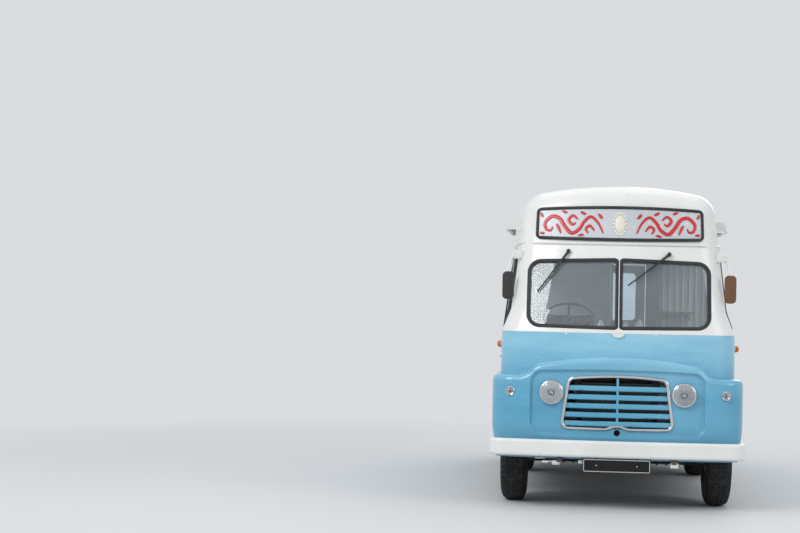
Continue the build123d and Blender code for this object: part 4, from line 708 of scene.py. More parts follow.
# %% Sign frame and ledge
BOARD = ((-0.680, 2.160), (0.680, 2.160), (0.674, 2.408), (-0.674, 2.408))
BOARD_MIDDLE = 2.284
bm = bmesh.new()
outline = []
for x, z in rounded(BOARD, 0.034, 0.03):
    bow_height = 0.020 if z > BOARD_MIDDLE else -0.012
    outline.append(Vector((x, z + bow_height * (1 - (x / 0.68) ** 2))))
trim_round(bm, "sign_panel", "front", grown(outline, -0.008), 26, 22, 2)
piece_from(bm, "sign_frame", "rubber_seal")

bm = bmesh.new()
add_trim(bm, [seat("screen_panel", "front", x, 2.120) for x in evenly(-0.70, 0.70, 29)], 20, 26, out=6)
piece_from(bm, "sign_ledge", "white_paint")

# %% [markdown]
# The board is painted with scrolls and dots round an oval rosette. A brush stroke is a flat oval
# swept along a smooth curve, wide in the middle and thin at its ends. Bezier pieces join the few
# points of each scroll, and rays put every sample on the board.

# %% Painted scrolls
# Points (x, z) of each stroke on the left half, in millimetres, and its width
SCROLLS = (
    (((136, 2208), (176, 2290), (236, 2342), (292, 2300), (334, 2236), (392, 2206), (446, 2258),
      (492, 2326), (552, 2342), (606, 2292), (600, 2238), (562, 2226), (546, 2256)), 34),
    (((206, 2226), (242, 2266), (276, 2242), (256, 2206)), 25),
    (((340, 2318), (380, 2350), (416, 2316), (386, 2276), (358, 2292)), 27),
    (((478, 2204), (500, 2254), (516, 2280)), 26),
    (((142, 2328), (176, 2366)), 26),
    (((276, 2360), (320, 2382)), 25),
    (((428, 2372), (470, 2388)), 24),
    (((292, 2196), (338, 2184)), 22),
    (((626, 2336), (648, 2372)), 24),
    (((610, 2202), (650, 2206)), 22),
)
# x, z, radius
DOTS = (
    (118, 2262, 10), (212, 2388, 9), (238, 2298, 8), (330, 2270, 8), (386, 2316, 9), (440, 2206, 10),
    (516, 2374, 10), (548, 2298, 9), (582, 2384, 8), (640, 2270, 11), (562, 2198, 8), (390, 2180, 8),
)


def smooth_stroke(points, steps=10):
    """Samples of a smooth curve through a few points."""
    points = [Vector((x, z, 0)) * MM for x, z in points]
    samples = []
    for index, (start, end) in enumerate(zip(points, points[1:])):
        before, after = points[max(index - 1, 0)], points[min(index + 2, len(points) - 1)]
        handles = start + (end - before) / 6, end - (after - start) / 6
        samples += interpolate_bezier(start, *handles, end, steps)[:-1]
    return samples + [points[-1]]


bm, dots = bmesh.new(), bmesh.new()
for side, _ in SIDES:
    for points, width in SCROLLS:
        seats = [seat("sign_panel", "front", side * spot.x, spot.y) for spot in smooth_stroke(points)]
        widths = [0.35 + 0.65 * math.sin(math.pi * share) ** 0.7 for share in evenly(0, 1, len(seats))]
        add_trim(bm, seats, width, 7, 10, out=2, widths=widths)
    for x, z, radius in DOTS:
        at = aim(*seat("sign_panel", "front", side * x * MM, z * MM))
        add_turned(dots, ((0, 5), (radius * 0.6, 4.5), (radius, 0)), at, 16)
point, normal = seat("sign_panel", "front", 0, 2.286)
at = aim(point, normal)
add_oval(dots, ((0, 12), (24, 11), (38, 7), (45, 1)), at, 0.90, 1.55, 40)
for petal in range(16):
    angle = math.tau * petal / 16
    spot = at @ Vector((0.90 * 0.058 * math.cos(angle), 1.55 * 0.058 * math.sin(angle), 0))
    add_turned(dots, ((0, 8), (8, 6), (11.5, 0)), aim(spot, normal), 14)
piece_from(bm, "sign_scrolls", "red_gloss")
piece_from(dots, "sign_dots", "cream_dot")

# %% [markdown]
# ## Headlamps
# Seven inch lamps: a bright rim, a mirror bowl with its bulb, and a domed glass lens with upright
# flutes pressed in its back. The lens is spun, and its flutes come from moving its points, because
# real flutes bend what is behind them and a painted pattern doesn't.

# %% Headlamps
HEADLAMP_X, LAMP_Z = 0.526, 0.919
SEAT_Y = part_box("headlamps")[0].y + 0.044
LENS_RADIUS = 85.5
FLUTE = 0.0120
RIM = (
    (84, 0), (99, 0), (100, 4), (99.5, 11), (96.5, 18), (92.5, 22.5), (88, 24.5), (83.5, 24), (81, 21.5),
    (80.5, 15), (84, 0),
)
BULB = ((0, 0), (10, -2), (15, -10), (16, -30), (0, -40))
SHELL = ((0, -78), (46, -70), (86, -8), (86, 0), (98, 0))


def dome(turn):
    """Height of the lens, in millimetres, at an angle from its middle."""
    return 18 + 24 * max(0.0, math.cos(turn)) ** 1.1


rims, bowls, lenses, shells = (bmesh.new() for _ in range(4))
for side, _ in SIDES:
    at = aim((side * HEADLAMP_X, SEAT_Y, LAMP_Z), (0, -1, 0))
    add_turned(rims, RIM, at, 72)
    add_turned(rims, ((0, 4), (3.5, 3), (4.5, 0)), at @ Matrix.Translation((0, -0.0925, 0.0215)), 10)
    add_turned(bowls, [(84.5 * math.sqrt(share), -62 + 72 * share) for share in evenly(0, 1, 13)], at, 56)
    add_turned(bowls, BULB, at, 24)
    add_turned(shells, SHELL, at, 40)
    first = len(lenses.verts)
    front = [(LENS_RADIUS * math.sin(turn), dome(turn)) for turn in evenly(0, math.pi / 2, 31)]
    back = [(radius * 0.985, height - 4) for radius, height in reversed(front)]
    add_turned(lenses, front + back, at, 120)
    lenses.verts.ensure_lookup_table()
    for vert in lenses.verts[first:]:
        x = vert.co.x - side * HEADLAMP_X
        ring = math.hypot(x, vert.co.z - LAMP_Z)
        front_y = SEAT_Y - dome(math.asin(min(1.0, ring / LENS_RADIUS / MM))) * MM
        if vert.co.y > front_y + 0.002:
            reach = min(1.0, max(0.0, (0.078 - ring) / 0.010))
            vert.co.y += 0.0022 * reach * abs(math.sin(x * math.pi / FLUTE))
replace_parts(piece_from(rims, "headlamp_rims", "bright_plate"), "headlamps")
piece_from(bowls, "headlamp_bowls", "mirror_glass")
piece_from(shells, "headlamp_shells", "black_enamel")
piece_from(lenses, "headlamp_lenses", "clear_lens", sharp=60)

# %% [markdown]
# The small lamps share one shape: a rippled lens in a bright bezel, with its bulb behind. A table
# gives each pair its place, its direction, its size and its colour. The front pair sits on the bow
# of the nose, which is an arc of a large circle.

# %% Small lamps
NOSE_RADIUS = (1.004**2 + 0.092**2) / (2 * 0.092)
REAR_FACE = y_at(5035)


def bow(x):
    """How far the nose falls back at a distance from its middle."""
    return NOSE_RADIUS - math.sqrt(NOSE_RADIUS**2 - x**2)


# name, x, y, z, facing, radius in millimetres, lens material
SMALL_LAMPS = (
    ("side_lamp", 0.858, y_at(134) + bow(0.858), LAMP_Z, -1, 39, "clear_lens"),
    ("tail_lamp", 0.700, REAR_FACE, 0.800, 1, 44, "red_lens"),
    ("tail_indicator", 0.700, REAR_FACE, 0.930, 1, 44, "amber_lens"),
    ("tail_reflector", 0.700, REAR_FACE, 1.040, 1, 34, "red_lens"),
)
bezels, bulbs = bmesh.new(), bmesh.new()
for kind, x, y, z, ahead, radius, lens in SMALL_LAMPS:
    for side, name in SIDES:
        at = aim((side * x, y, z), (0, ahead, 0))
        bezel = ((0.70, 2), (0.99, -4), (1, 4), (0.97, 12), (0.84, 17.5), (0.74, 16), (0.70, 2))
        add_turned(bezels, [(radius * share, height) for share, height in bezel], at, 40)
        add_turned(bezels, ((0, 1), (radius * 0.40, 2), (radius * 0.72, 10)), at, 32)
        add_turned(bulbs, ((0, 20), (6, 17), (9, 10), (9, 2)), at, 16)
        glass = bmesh.new()
        turns = evenly(0, math.pi / 2, 10)
        front = [(radius * 0.735 * math.sin(turn), 13 + radius * 0.42 * math.cos(turn)) for turn in turns]
        add_turned(glass, front + [(r * 0.94, height - 2.5) for r, height in reversed(front)], at, 64)
        for vert in glass.verts:
            ring = (at.inverted() @ vert.co).xy.length
            vert.co.y += ahead * 0.0006 * math.cos(ring * math.tau / 0.0062)
        piece_from(glass, f"{kind}_{name}_lens", lens, sharp=50)
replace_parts(piece_from(bezels, "small_lamp_bezels", "bright_plate"), "small_lamps")
piece_from(bulbs, "small_lamp_bulbs", "red_lens")

# %% [markdown]
# The amber indicators stand out from the cab's sides on blue plinths, each a tall ribbed dome. The
# dome is spun first, and its ribs come from drawing its points in and out round the axis.

# %% Indicators
DOME = [(0, 38), (8, 37.5), (16, 35), (22, 30), (25.5, 22), (27, 12), (27, 5)]
DOME += [(radius * 0.86, max(5, height - 3)) for radius, height in reversed(DOME)]
plinths, rings = bmesh.new(), bmesh.new()
for side, name in SIDES:
    add_block(plinths, (side * 0.905, y_at(560), 1.217), (side * 0.948, y_at(640), 1.357), 10, 3)
    at = aim((side * 0.946, y_at(600), 1.287), (side, 0, 0))
    add_turned(rings, ((0, 0), (31, 0), (31, 6), (29, 8), (0, 8)), at, 32)
    amber = bmesh.new()
    add_turned(amber, DOME, at, 48)
    for vert in amber.verts:
        local = at.inverted() @ vert.co
        shrink = 1 + 0.018 * math.cos(24 * math.atan2(local.y, local.x))
        vert.co = at @ Vector((local.x * shrink, local.y * shrink, local.z))
    piece_from(amber, "indicator_dome_" + name, "amber_lens", sharp=60)
piece_from(plinths, "indicator_plinths", "nose_paint")
piece_from(rings, "indicator_rings", "bright_plate")

# %% [markdown]
# ## Grille surround
# A bright tube runs round the grille and rises in a wave over the hole for the starting handle. Its
# path is the outline of the opening, laid on the same bow as the nose, and a cosine lifts it.

# %% Grille surround


def nose_face(x, z):
    """A place on the floor of the nose's recess, and the direction out of it."""
    slope = x / NOSE_RADIUS
    return Vector((x, y_at(156) + bow(x), z)), Vector((slope, -math.sqrt(1 - slope**2), 0))


ring = []
for x, z in rounded(((-0.440, 0.640), (0.440, 0.640), (0.386, 1.030), (-0.386, 1.030)), 0.046, 0.012):
    high, half_width = (0.024, 0.386) if z > 0.9 else (-0.004, 0.44)
    rise = high * max(0, 1 - (x / half_width) ** 2)
    if z < 0.7 and abs(x) < 0.105:
        rise += 0.026 * (0.5 + 0.5 * math.cos(math.pi * x / 0.105))
    ring.append(Vector((x, z + rise)))
bm = bmesh.new()
add_trim(bm, [nose_face(x, z) for x, z in grown(ring, 0.003)], 27, 24, 14, closed=True)
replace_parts(piece_from(bm, "grille_ring", "bright_plate", sharp=50), "grille_surround")

bm = bmesh.new()
collar = ((25.5, -30), (25.5, 1), (27.5, 2), (30, 0), (29, -4))
add_turned(bm, collar, aim(nose_face(0, 0.607)[0], (0, -1, 0)), 40)
piece_from(bm, "handle_hole_collar", "nose_paint")

# %% [markdown]
# Behind the bars the radiator's fins catch a little light. They are thin blocks in a row, crossed by
# a few tubes, because at this distance only their spacing shows.

# %% Radiator fins
bm = bmesh.new()
fin_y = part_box("radiator")[0].y + 0.010
for x in evenly(-0.262, 0.262, 54):
    add_block(bm, (x - 0.0012, fin_y - 0.004, 0.680), (x + 0.0012, fin_y + 0.004, 0.938))
for z in evenly(0.695, 0.925, 9):
    add_block(bm, (-0.264, fin_y - 0.002, z - 0.002), (0.264, fin_y + 0.004, z + 0.002))
piece_from(bm, "radiator_fins", "engine_grey")

# %% [markdown]
# ## Bumper and number plates
# Domed bolts hold the bumpers, and a few brackets hang under the front one. The plates stay blank: a
# black enamel plate with a silver line round its edge, swept with a square section, and two screws.

# %% Bumper bolts, brackets and plates
bm = bmesh.new()
for view, x, z in (
    ("front", -0.372, 0.487), ("front", 0.360, 0.487), ("back", -0.62, 0.497), ("back", 0.62, 0.497),
):
    add_turned(bm, ((0, -1), (8, -1.5), (13, -4), (14, -9)), aim(*seat("bumpers", view, x, z)), 20)
piece_from(bm, "bumper_bolts", "white_paint")

# corner x, depth and z, then the opposite corner, then the bevel
BRACKETS = (
    (0.422, 50, 0.348, 0.484, 104, 0.388, 5), (-0.588, 60, 0.366, -0.540, 96, 0.380, 3),
    (-0.588, 84, 0.372, -0.446, 96, 0.380, 2), (-0.302, 56, 0.366, -0.268, 96, 0.390, 4),
)
bm = bmesh.new()
for x, depth, z, far_x, far_depth, far_z, bevel in BRACKETS:
    add_block(bm, (x, y_at(depth), z), (far_x, y_at(far_depth), far_z), bevel)
add_bar(bm, (-0.508, y_at(76), 0.367), (-0.446, y_at(76), 0.367), 19, 20)
for x in (-0.477, 0.453):
    add_turned(bm, ((0, 10), (8, 10), (9, 8), (9, 0)), aim((x, y_at(50), 0.367), (0, -1, 0)), 6)
piece_from(bm, "bumper_blocks", "hood_white")

lines, screws = bmesh.new(), bmesh.new()
for face_y, z, ahead in ((-2.540, 0.3105, -1), (2.481, 0.5825, 1)):
    corners = ((-0.259, z), (0.259, z), (0.259, z + 0.093), (-0.259, z + 0.093))
    edge = [(x, face_y, height) for x, height in rounded(corners, 0.008, 0.05)]
    add_trim(lines, facing(edge, (0, ahead, 0)), 6.2, 3, 4, closed=True)
    for x in (-0.160, 0.160):
        at = aim((x, face_y, z + 0.0465), (0, ahead, 0))
        add_turned(screws, ((0, 2.2), (3.5, 1.8), (5.5, 0)), at, 16)
piece_from(lines, "plate_lines", "silver_line")
piece_from(screws, "plate_screws", "silver_line")

# %% [markdown]
# ## Wipers
# Each wiper hangs from a spindle above the screen: a tapered arm with a brace, a bridge, and a long
# thin blade. All lie along one line, at their own distances from the curved cab, so one table of
# shares and distances makes both wipers.

# %% Wipers
SPINDLE = ((17, -2), (17, 7), (11, 11), (11, 22), (15, 23), (15, 32), (0, 34))
# shares of the way to the tip, distances off the screen, shift, width, height, sides, widths
WIPER_RODS = (
    ((-0.035, 0.02, 0.10, 0.25, 0.40, 0.56), (27.21, 26.88, 26.4, 25.5, 24.6, 23.64), (0, 0, 0),
     21, 7, 4, (1.0, 1.15, 0.95, 0.8, 0.65, 0.6)),
    ((0.12, 0.34, 0.60), (26, 27, 22), (0.009, 0, 0.008), 5, 4, 6, None),
    ((0.34, 0.44, 0.56, 0.70, 0.84), (13, 19, 22, 19, 13), (0, 0, 0), 13, 6, 6, None),
    ((0.16, 0.30, 0.45, 0.60, 0.75, 0.90, 1.0), [12.5] * 7, (0, 0, 0), 13.5, 5, 6, None),
    ((0.155, 0.30, 0.45, 0.60, 0.75, 0.90, 1.005), [7.5] * 7, (0, 0, 0), 5.5, 11, 4, None),
)


def cab_face(x, z, out=0):
    """A place in front of the upper cab, out by so many millimetres."""
    nose = 0.310 + 0.26 * (z - 1.58)
    corner = 0.862 - 0.112 * (z - 1.58)
    radius = (corner**2 + 0.130**2) / (2 * 0.130)
    return Vector((x, -2.56 + nose + radius - math.sqrt(radius**2 - x**2) - out * MM, z))


bm = bmesh.new()
for pivot, tip in (((-0.413, 2.053), (-0.658, 1.724)), ((0.401, 2.040), (0.072, 1.786))):
    pivot, tip = Vector(pivot), Vector(tip)
    add_turned(bm, SPINDLE, aim(cab_face(*pivot), (0, -1, 0.24)), 24)
    for shares, outs, shift, width, height, sides, widths in WIPER_RODS:
        rod = [cab_face(*pivot.lerp(tip, share), out) + Vector(shift) for share, out in zip(shares, outs)]
        add_trim(bm, facing(rod, (0, -1, 0.25)), width, height, sides, widths=widths)
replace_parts(piece_from(bm, "wiper_sets", "black_enamel"), "wipers")

# %% [markdown]
# ## Mirrors
# Long heads on white arms from brackets on the pillars. One head is black and the other brown, as on
# the real truck, and the glass faces back. A head is a cube: its four long edges get a wide bevel,
# and then its front and back rims a small one.

# %% Mirrors


def add_pad(bm, corner, opposite, radius, lip):
    """A slab in the XZ plane with round corners and softened rims."""

    def runs_along_y(edge):
        return abs((edge.verts[0].co - edge.verts[1].co).y) > 1e-6

    edges = [edge for edge in add_block(bm, corner, opposite) if runs_along_y(edge)]
    corners = soften(bm, edges, radius, 6)["faces"]
    touching = edges_of(vert for face in corners for vert in face.verts)
    rims = [edge for edge in touching if not runs_along_y(edge) and edge.calc_face_angle(0) > 1.2]
    if lip:
        soften(bm, rims, lip, 3)


metal, glass = bmesh.new(), bmesh.new()
for (side, name), finish in zip(SIDES, ("black_enamel", "brass_brown")):
    head = bmesh.new()
    add_pad(head, (side * 0.852, y_at(500), 1.656), (side * 0.948, y_at(519), 1.884), 34, 7.5)
    head_piece = piece_from(head, "mirror_head_" + name, finish)
    add_pad(glass, (side * 0.857, y_at(518.5), 1.661), (side * 0.943, y_at(520.5), 1.879), 29, 0)
    wall, _ = seat("screen_panel", side, y_at(612), 2.022)
    add_block(metal, (wall.x - side * 0.010, y_at(586), 1.990), (side * 0.866, y_at(640), 2.055), 5)
    knuckle = ((0, -22), (13, -22), (16, -18), (16, 18), (13, 22), (0, 22))
    add_turned(metal, knuckle, aim((side * 0.868, y_at(602), 2.018), (0, 0, 1)), 20)
    add_bar(metal, (side * 0.868, y_at(600), 2.040), (side * 0.930, y_at(530), 1.800), 6.2)
    add_bar(metal, (side * 0.866, y_at(606), 1.998), (side * 0.905, y_at(528), 1.770), 5.0)
    add_block(metal, (side * 0.894, y_at(519), 1.755), (side * 0.942, y_at(536), 1.812), 3)
    add_bar(metal, (side * 0.853, y_at(612), 2.050), (side * 0.842, y_at(612), 2.245), 4.2)
    add_bar(metal, (side * 0.842, y_at(612), 2.238), (side * 0.790, y_at(640), 2.238), 4.2)
    for z in (2.004, 2.041):
        add_turned(metal, ((0, 7), (5, 6), (7, 0)), aim((side * 0.850, y_at(586), z), (0, -1, 0)), 10)
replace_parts(head_piece, "mirrors")
piece_from(metal, "mirror_arms", "hood_white")
piece_from(glass, "mirror_glass", "mirror_glass")

# %% [markdown]
# ## Trim on the sides and the back
# Rubber holds the fixed glass, alloy frames carry the sliding serving windows, and a drip rail runs
# above them all. Each is one sweep round an outline drawn on the side view.

# %% Side trim
rubbers, alloy, rails = (bmesh.new() for _ in range(3))


def side_outline(front, back, low, high, radius, lean=0):
    """A window's rounded outline in the side view. Its front edge may lean back towards the top."""
    corners = ((y_at(front), low), (y_at(back), low), (y_at(back), high), (y_at(front + lean), high))
    return grown(rounded(corners, radius, 0.03), 0.008)


for side, name in SIDES:
    panel = "side_panel_" + name
    trim_round(rubbers, "screen_panel", side, side_outline(640, 1100, 1.456, 2.036, 0.046, 130), 26, 18)
    trim_round(rubbers, panel, side, side_outline(3820, 4520, 1.456, 2.086, 0.060), 28, 18)
    trim_round(alloy, panel, side, side_outline(2130, 3630, 1.440, 2.086, 0.040), 36, 16, sides=8)
    door_trim = bmesh.new()
    trim_round(door_trim, "door_" + name, side, side_outline(1290, 1812, 1.456, 2.036, 0.046), 24, 16)
    piece_from(door_trim, "door_window_trim_" + name, "rubber_seal", name + "_door")
    for depth_mm, width in ((2160, 20), (2862, 24), (2898, 24), (3600, 20)):
        upright = [seat("glazing", side, y_at(depth_mm), z) for z in evenly(1.452, 2.074, 9)]
        add_trim(alloy, upright, width, 16, 4, out=6)
    pull, _ = seat("glazing", side, y_at(2940), 1.76)
    add_block(alloy, pull + Vector((-0.010, -0.012, -0.050)), pull + Vector((0.016, 0.012, 0.050)), 4)
    wall, _ = seat(panel, side, y_at(2880), 1.418)
    add_block(alloy, (wall.x - side * 0.006, y_at(2110), 1.406), (side * 1.012, y_at(3650), 1.420), 4)
    drip = []
    for depth_mm in evenly(610, 4840, 88):
        for where in ("screen_panel", panel, "rear_panel"):
            point, normal = on_panel(where, (side * 2, y_at(depth_mm), 2.121), (-side, 0, 0), near=False)
            if point is not None and abs(point.x) > 0.7:
                drip.append((point, normal))
                break
    add_trim(rails, drip, 16, 26)
piece_from(rubbers, "side_window_rubbers", "rubber_seal")
piece_from(alloy, "serving_window_frames", "dull_alloy")
piece_from(rails, "drip_rails", "white_paint")

bm = bmesh.new()
back_corners = ((-0.280, 1.456), (0.280, 1.456), (0.280, 1.960), (-0.280, 1.960))
trim_round(bm, "rear_door", "back", grown(rounded(back_corners, 0.050, 0.03), 0.008), 28, 18)
piece_from(bm, "rear_window_rubber", "rubber_seal", "back_door")

# %% [markdown]
# A door handle is an oval plate, a neck and a curved lever, all plated. The lever is a swept oval
# that swells in the middle, so that it fits the hand.

# %% Door handles


def add_handle(bm, point, normal, plate, neck, lever, width, height):
    """A plate and a neck, each with its radii or heights, and a lever through places off the door."""
    at = aim(point, normal)
    add_oval(bm, ((0, 6), (plate[0], 5), (plate[1], 0)), at, 1.0, 1.4)
    add_turned(bm, ((8, 0), (8, neck[0]), (0, neck[1])), at, 16)
    grip = facing([point + Vector(place) for place in lever], normal)
    add_trim(bm, grip, width, height, 10, widths=(0.7, 1.0, 1.1, 1.05, 1.0, 0.95, 0.9, 0.6))


for side, name in SIDES:
    bm = bmesh.new()
    lever = [(side * 0.0175, 0.004 - 0.118 * k / 7, 0.004 * math.sin(k)) for k in range(8)]
    spot = seat("door_" + name, side, y_at(1826), 1.150)
    add_handle(bm, *spot, (16, 21), (15, 18), lever, 14, 12)
    add_turned(bm, ((0, 4), (8, 3.5), (11, 0)), aim(*seat("door_" + name, side, y_at(1826), 1.075)), 20)
    piece_from(bm, "door_handle_" + name, "bright_plate", name + "_door")
bm = bmesh.new()
lever = [(0.004 - 0.125 * k / 7, 0.024, 0) for k in range(8)]
add_handle(bm, *seat("rear_door", "back", 0.310, 1.180), (18, 24), (22, 26), lever, 16, 13)
piece_from(bm, "rear_door_handle", "bright_plate", "back_door")

# %% [markdown]
# ## Tyres and wheels
# A tyre's section is spun round the axle. Narrow bands of its faces become zigzag grooves and slots
# in the shoulders, by an inset that goes inwards. The zigzag comes from moving every other pair of
# points along the axle first, so the tread is real geometry at the cost of few faces.

# %% Tyres
AROUND = 144
ZIGZAG = 0.0030
# Half of the section, from the bead to the shoulder: (distance from the middle, radius), in mm
SIDEWALL = (
    (78, 213.3), (83.5, 222), (85, 233), (90.5, 242), (94.5, 245), (95.5, 250), (98.5, 262), (103.5, 279),
    (106.2, 296), (106.8, 306), (107.2, 308.5), (106.8, 311), (105, 327), (101, 345), (96.5, 358),
    (94.5, 360), (90.5, 372), (83.5, 383),
)
TREAD_EDGES = (75, 59, 52, 33, 26, 7)
GROOVES = (0.0555, 0.0295, 0.0)


def tread_radius(x):
    return 403 - 5 * (x / 55.5) ** 2 - 0.35 * max(0, x - 60)


def make_tyre(name, centre):
    """A treaded tyre that stands for the CAD one."""
    bm = bmesh.new()
    half = [(radius, x) for x, radius in SIDEWALL] + [(tread_radius(x), x) for x in TREAD_EDGES]
    profile = half + [(radius, -x) for radius, x in reversed(half)]
    at = Matrix.Translation(centre) @ Matrix.Rotation(math.pi / 2, 4, "Y")
    add_turned(bm, profile + [profile[0]], at, AROUND)
    for vert in bm.verts:
        local = vert.co - centre
        step = round(math.atan2(local.z, local.y) % math.tau / math.tau * AROUND)
        if abs(local.x) < 0.060:
            vert.co.x += ZIGZAG if step // 2 % 2 else -ZIGZAG
    grooves, slots = [], []
    for face in bm.faces:
        middle = face.calc_center_median() - centre
        ring = math.hypot(middle.y, middle.z)
        step = int(math.atan2(middle.z, middle.y) % math.tau / math.tau * AROUND)
        if ring > 0.393 and any(abs(abs(middle.x) - line) < 0.0028 for line in GROOVES):
            grooves.append(face)
        elif 0.374 < ring < 0.392 and step % 3 == 0:
            slots.append(face)
    bmesh.ops.inset_region(bm, faces=grooves, thickness=0.0009, depth=-0.0070, use_boundary=True)
    bmesh.ops.inset_region(bm, faces=slots, thickness=0.0016, depth=-0.0055, use_boundary=True)
    tyre = piece_from(bm, "treaded_tyre_" + name, "rubber_" + name, "roll_" + name, 38)
    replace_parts(tyre, "tyre_" + name)


for corner, centre in WHEEL_CENTRES.items():
    make_tyre(corner, centre)

# %% [markdown]
# A plated cap covers each hub, six nuts with rounded heads hold the wheel, and the valve leans out
# of the rim. All are turned shapes, a nut with only six steps, which makes its flats.

# %% Hub caps, nuts and valves
CAP = ((0, 77.8), (20, 77.2), (36, 74.5), (52, 68.5), (64, 60), (71.2, 52), (71.2, 49))
for corner, centre in WHEEL_CENTRES.items():
    at = aim(centre, (1 if centre.x > 0 else -1, 0, 0))
    cap, nuts = bmesh.new(), bmesh.new()
    add_turned(cap, CAP, at, 48)
    for index in range(6):
        turn = Matrix.Rotation(math.tau * (index + 0.5) / 6, 4, "Z")
        spot = at @ turn @ Matrix.Translation((0.104, 0, 0.022))
        add_turned(nuts, ((0, 16), (9.5, 16), (13.5, 13), (13.5, 3), (15, 0)), spot, 6)
        add_turned(nuts, ((0, 21.5), (5.5, 20.5), (6.2, 16)), spot, 12)
    add_bar(nuts, at @ Vector((0.176, 0, 0.032)), at @ Vector((0.187, 0, 0.066)), 4.2, 10)
    piece_from(cap, "hub_cap_" + corner, "bright_plate", "roll_" + corner)
    piece_from(nuts, "wheel_nuts_" + corner, "engine_grey", "roll_" + corner)

# %% [markdown]
# ## Driver's seat
# Foam under vinyl bulges between its seams and pulls in along its sides. Each pad is a cube cut into
# a fine net of faces. Its points are moved to a crown with sewn channels and then relaxed, and cord
# piping is swept round the two seams. That takes no simulation, so it is the same on every run.

# %% Seat pads
CHANNELS = (-0.6, -0.3, 0.0, 0.3, 0.6)
CROWN = 0.75


def add_cushion(bm, size, matrix):
    """A stuffed pad: crowned top, sides that pull in, and channels sewn across it."""
    cube = bmesh.ops.create_cube(bm, size=2)["verts"]
    bmesh.ops.subdivide_edges(bm, edges=edges_of(cube), cuts=34, use_grid_fill=True)
    half = Vector(size) / 2
    for vert in bm.verts:
        u, v, w = vert.co
        edge = max(0, (1 - abs(u) ** 7) * (1 - abs(v) ** 7))
        x = u * half.x * (1 - 0.035 * (1 - v * v) * abs(u) ** 3)
        y = v * half.y * (1 - 0.035 * (1 - u * u) * abs(v) ** 3)
        z = w * half.z * (CROWN + (1 - CROWN) * math.sqrt(edge))
        if w > 0.6:
            z -= 0.011 * edge * sum(math.exp(-(((u - line) * half.x / 0.006) ** 2)) for line in CHANNELS)
        vert.co = Vector((x, y, z))
    bmesh.ops.smooth_vert(
        bm, verts=bm.verts, factor=0.5, use_axis_x=True, use_axis_y=True, use_axis_z=True
    )
    bmesh.ops.transform(bm, matrix=matrix, verts=bm.verts)


piping = bmesh.new()
cushion_at = Matrix.Translation((-0.401, -0.970, 1.070))
back_at = Matrix.Translation((-0.401, -0.770, 1.310)) @ Matrix.Rotation(math.radians(90 - 8), 4, "X")
# name, size, matrix, heights of its piping
PADS = (
    ("seat_cushion", (0.424, 0.424, 0.100), cushion_at, (0.030, -0.034)),
    ("seat_back", (0.404, 0.432, 0.078), back_at, (0.024, -0.026)),
)
for name, size, matrix, heights in PADS:
    bm = bmesh.new()
    add_cushion(bm, size, matrix)
    pad_piece = piece_from(bm, name, "dark_vinyl", sharp=80)
    if name == "seat_cushion":
        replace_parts(pad_piece, "driver_seat")
    x, y = size[0] / 2 * 0.985, size[1] / 2 * 0.985
    outline = grown(rounded(((-x, -y), (x, -y), (x, y), (-x, y)), 0.020, 0.02), -0.001)
    for height in heights:
        seam = [matrix @ Vector((*spot, height)) for spot in outline]
        add_trim(piping, facing(seam, matrix.to_3x3() @ Vector((0, 0, 1))), 8.5, 8.5, closed=True)
piece_from(piping, "seat_piping", "cream_panel")

# %% [markdown]
# The seat stands on a steel box with flanges, bolted to the floor, and two rods carry its back.
# Rounded blocks are enough for it, because it is mostly in the dark.

# %% Seat pedestal
bm = bmesh.new()
add_block(bm, (-0.545, -1.115, 0.732), (-0.257, -0.795, 1.018), 12)
for low, high in ((0.7205, 0.7345), (1.006, 1.024)):
    add_block(bm, (-0.553, -1.121, low), (-0.249, -0.787, high), 4)
for x in (-0.540, -0.262):
    for y in (-1.108, -0.800):
        at = aim((x, y, 0.7345), (0, 0, 1), Vector((0, 1, 0)))
        add_turned(bm, ((0, 6), (7, 6), (9, 4), (9, 0)), at, 6)
for x in (-0.505, -0.297):
    add_bar(bm, (x, -0.845, 1.012), (x, -0.792, 1.150), 10)
piece_from(bm, "seat_pedestal", "black_enamel")

# %% [markdown]
# ## Dashboard
# Round instruments sit in front of the driver: dark dials with tick marks and a pale needle, in
# bright rings, over a row of knobs. The marks are thin bars, so no lettering is needed.

# %% Instruments and switches
FACE_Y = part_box("dashboard")[1].y
rings, faces, marks, knobs = (bmesh.new() for _ in range(4))
for x, radius in ((-0.400, 44), (-0.500, 28), (-0.300, 28)):
    at = aim((x, FACE_Y, 1.305), (0, 1, 0))
    ring = ((0.88, 1), (1.08, -1), (1.10, 5), (0.98, 9), (0.88, 1))
    add_turned(rings, [(radius * share, height) for share, height in ring], at, 48)
    add_turned(faces, ((0, 3), (radius * 0.90, 3), (radius * 0.90, 0)), at, 48)
    # angle, start and end along the radius, height, thickness, sides
    bars = [(angle, 0.68, 0.84, 3.6, 0.016, 4) for angle in evenly(-135, 135, 11)]
    for angle, start, end, height, thick, sides in bars + [(118, -0.15, 0.70, 5.0, 0.022, 6)]:
        turn = at @ Matrix.Rotation(math.radians(angle), 4, "Z")
        low, high = (turn @ Vector((0, radius * share * MM, height * MM)) for share in (start, end))
        add_bar(marks, low, high, radius * thick, sides)
    add_turned(marks, ((0, 7.5), (radius * 0.08, 7), (radius * 0.10, 3)), at, 16)
for x in evenly(-0.500, -0.300, 5):
    at = aim((x, FACE_Y, 1.268), (0, 1, 0))
    add_turned(knobs, ((0, 20), (6, 19.5), (9, 16), (9, 11), (4, 9), (4, 0)), at, 20)
piece_from(rings, "dial_rings", "bright_plate")
piece_from(faces, "dial_faces", "plate_black")
piece_from(marks, "dial_marks", "cone_white")
piece_from(knobs, "dash_knobs", "wheel_black")

# %% [markdown]
# Paper cones stand on the ledge behind the windscreen in stacks, ready for use. Each is a thin turned
# shell, set a little higher than the one below it.

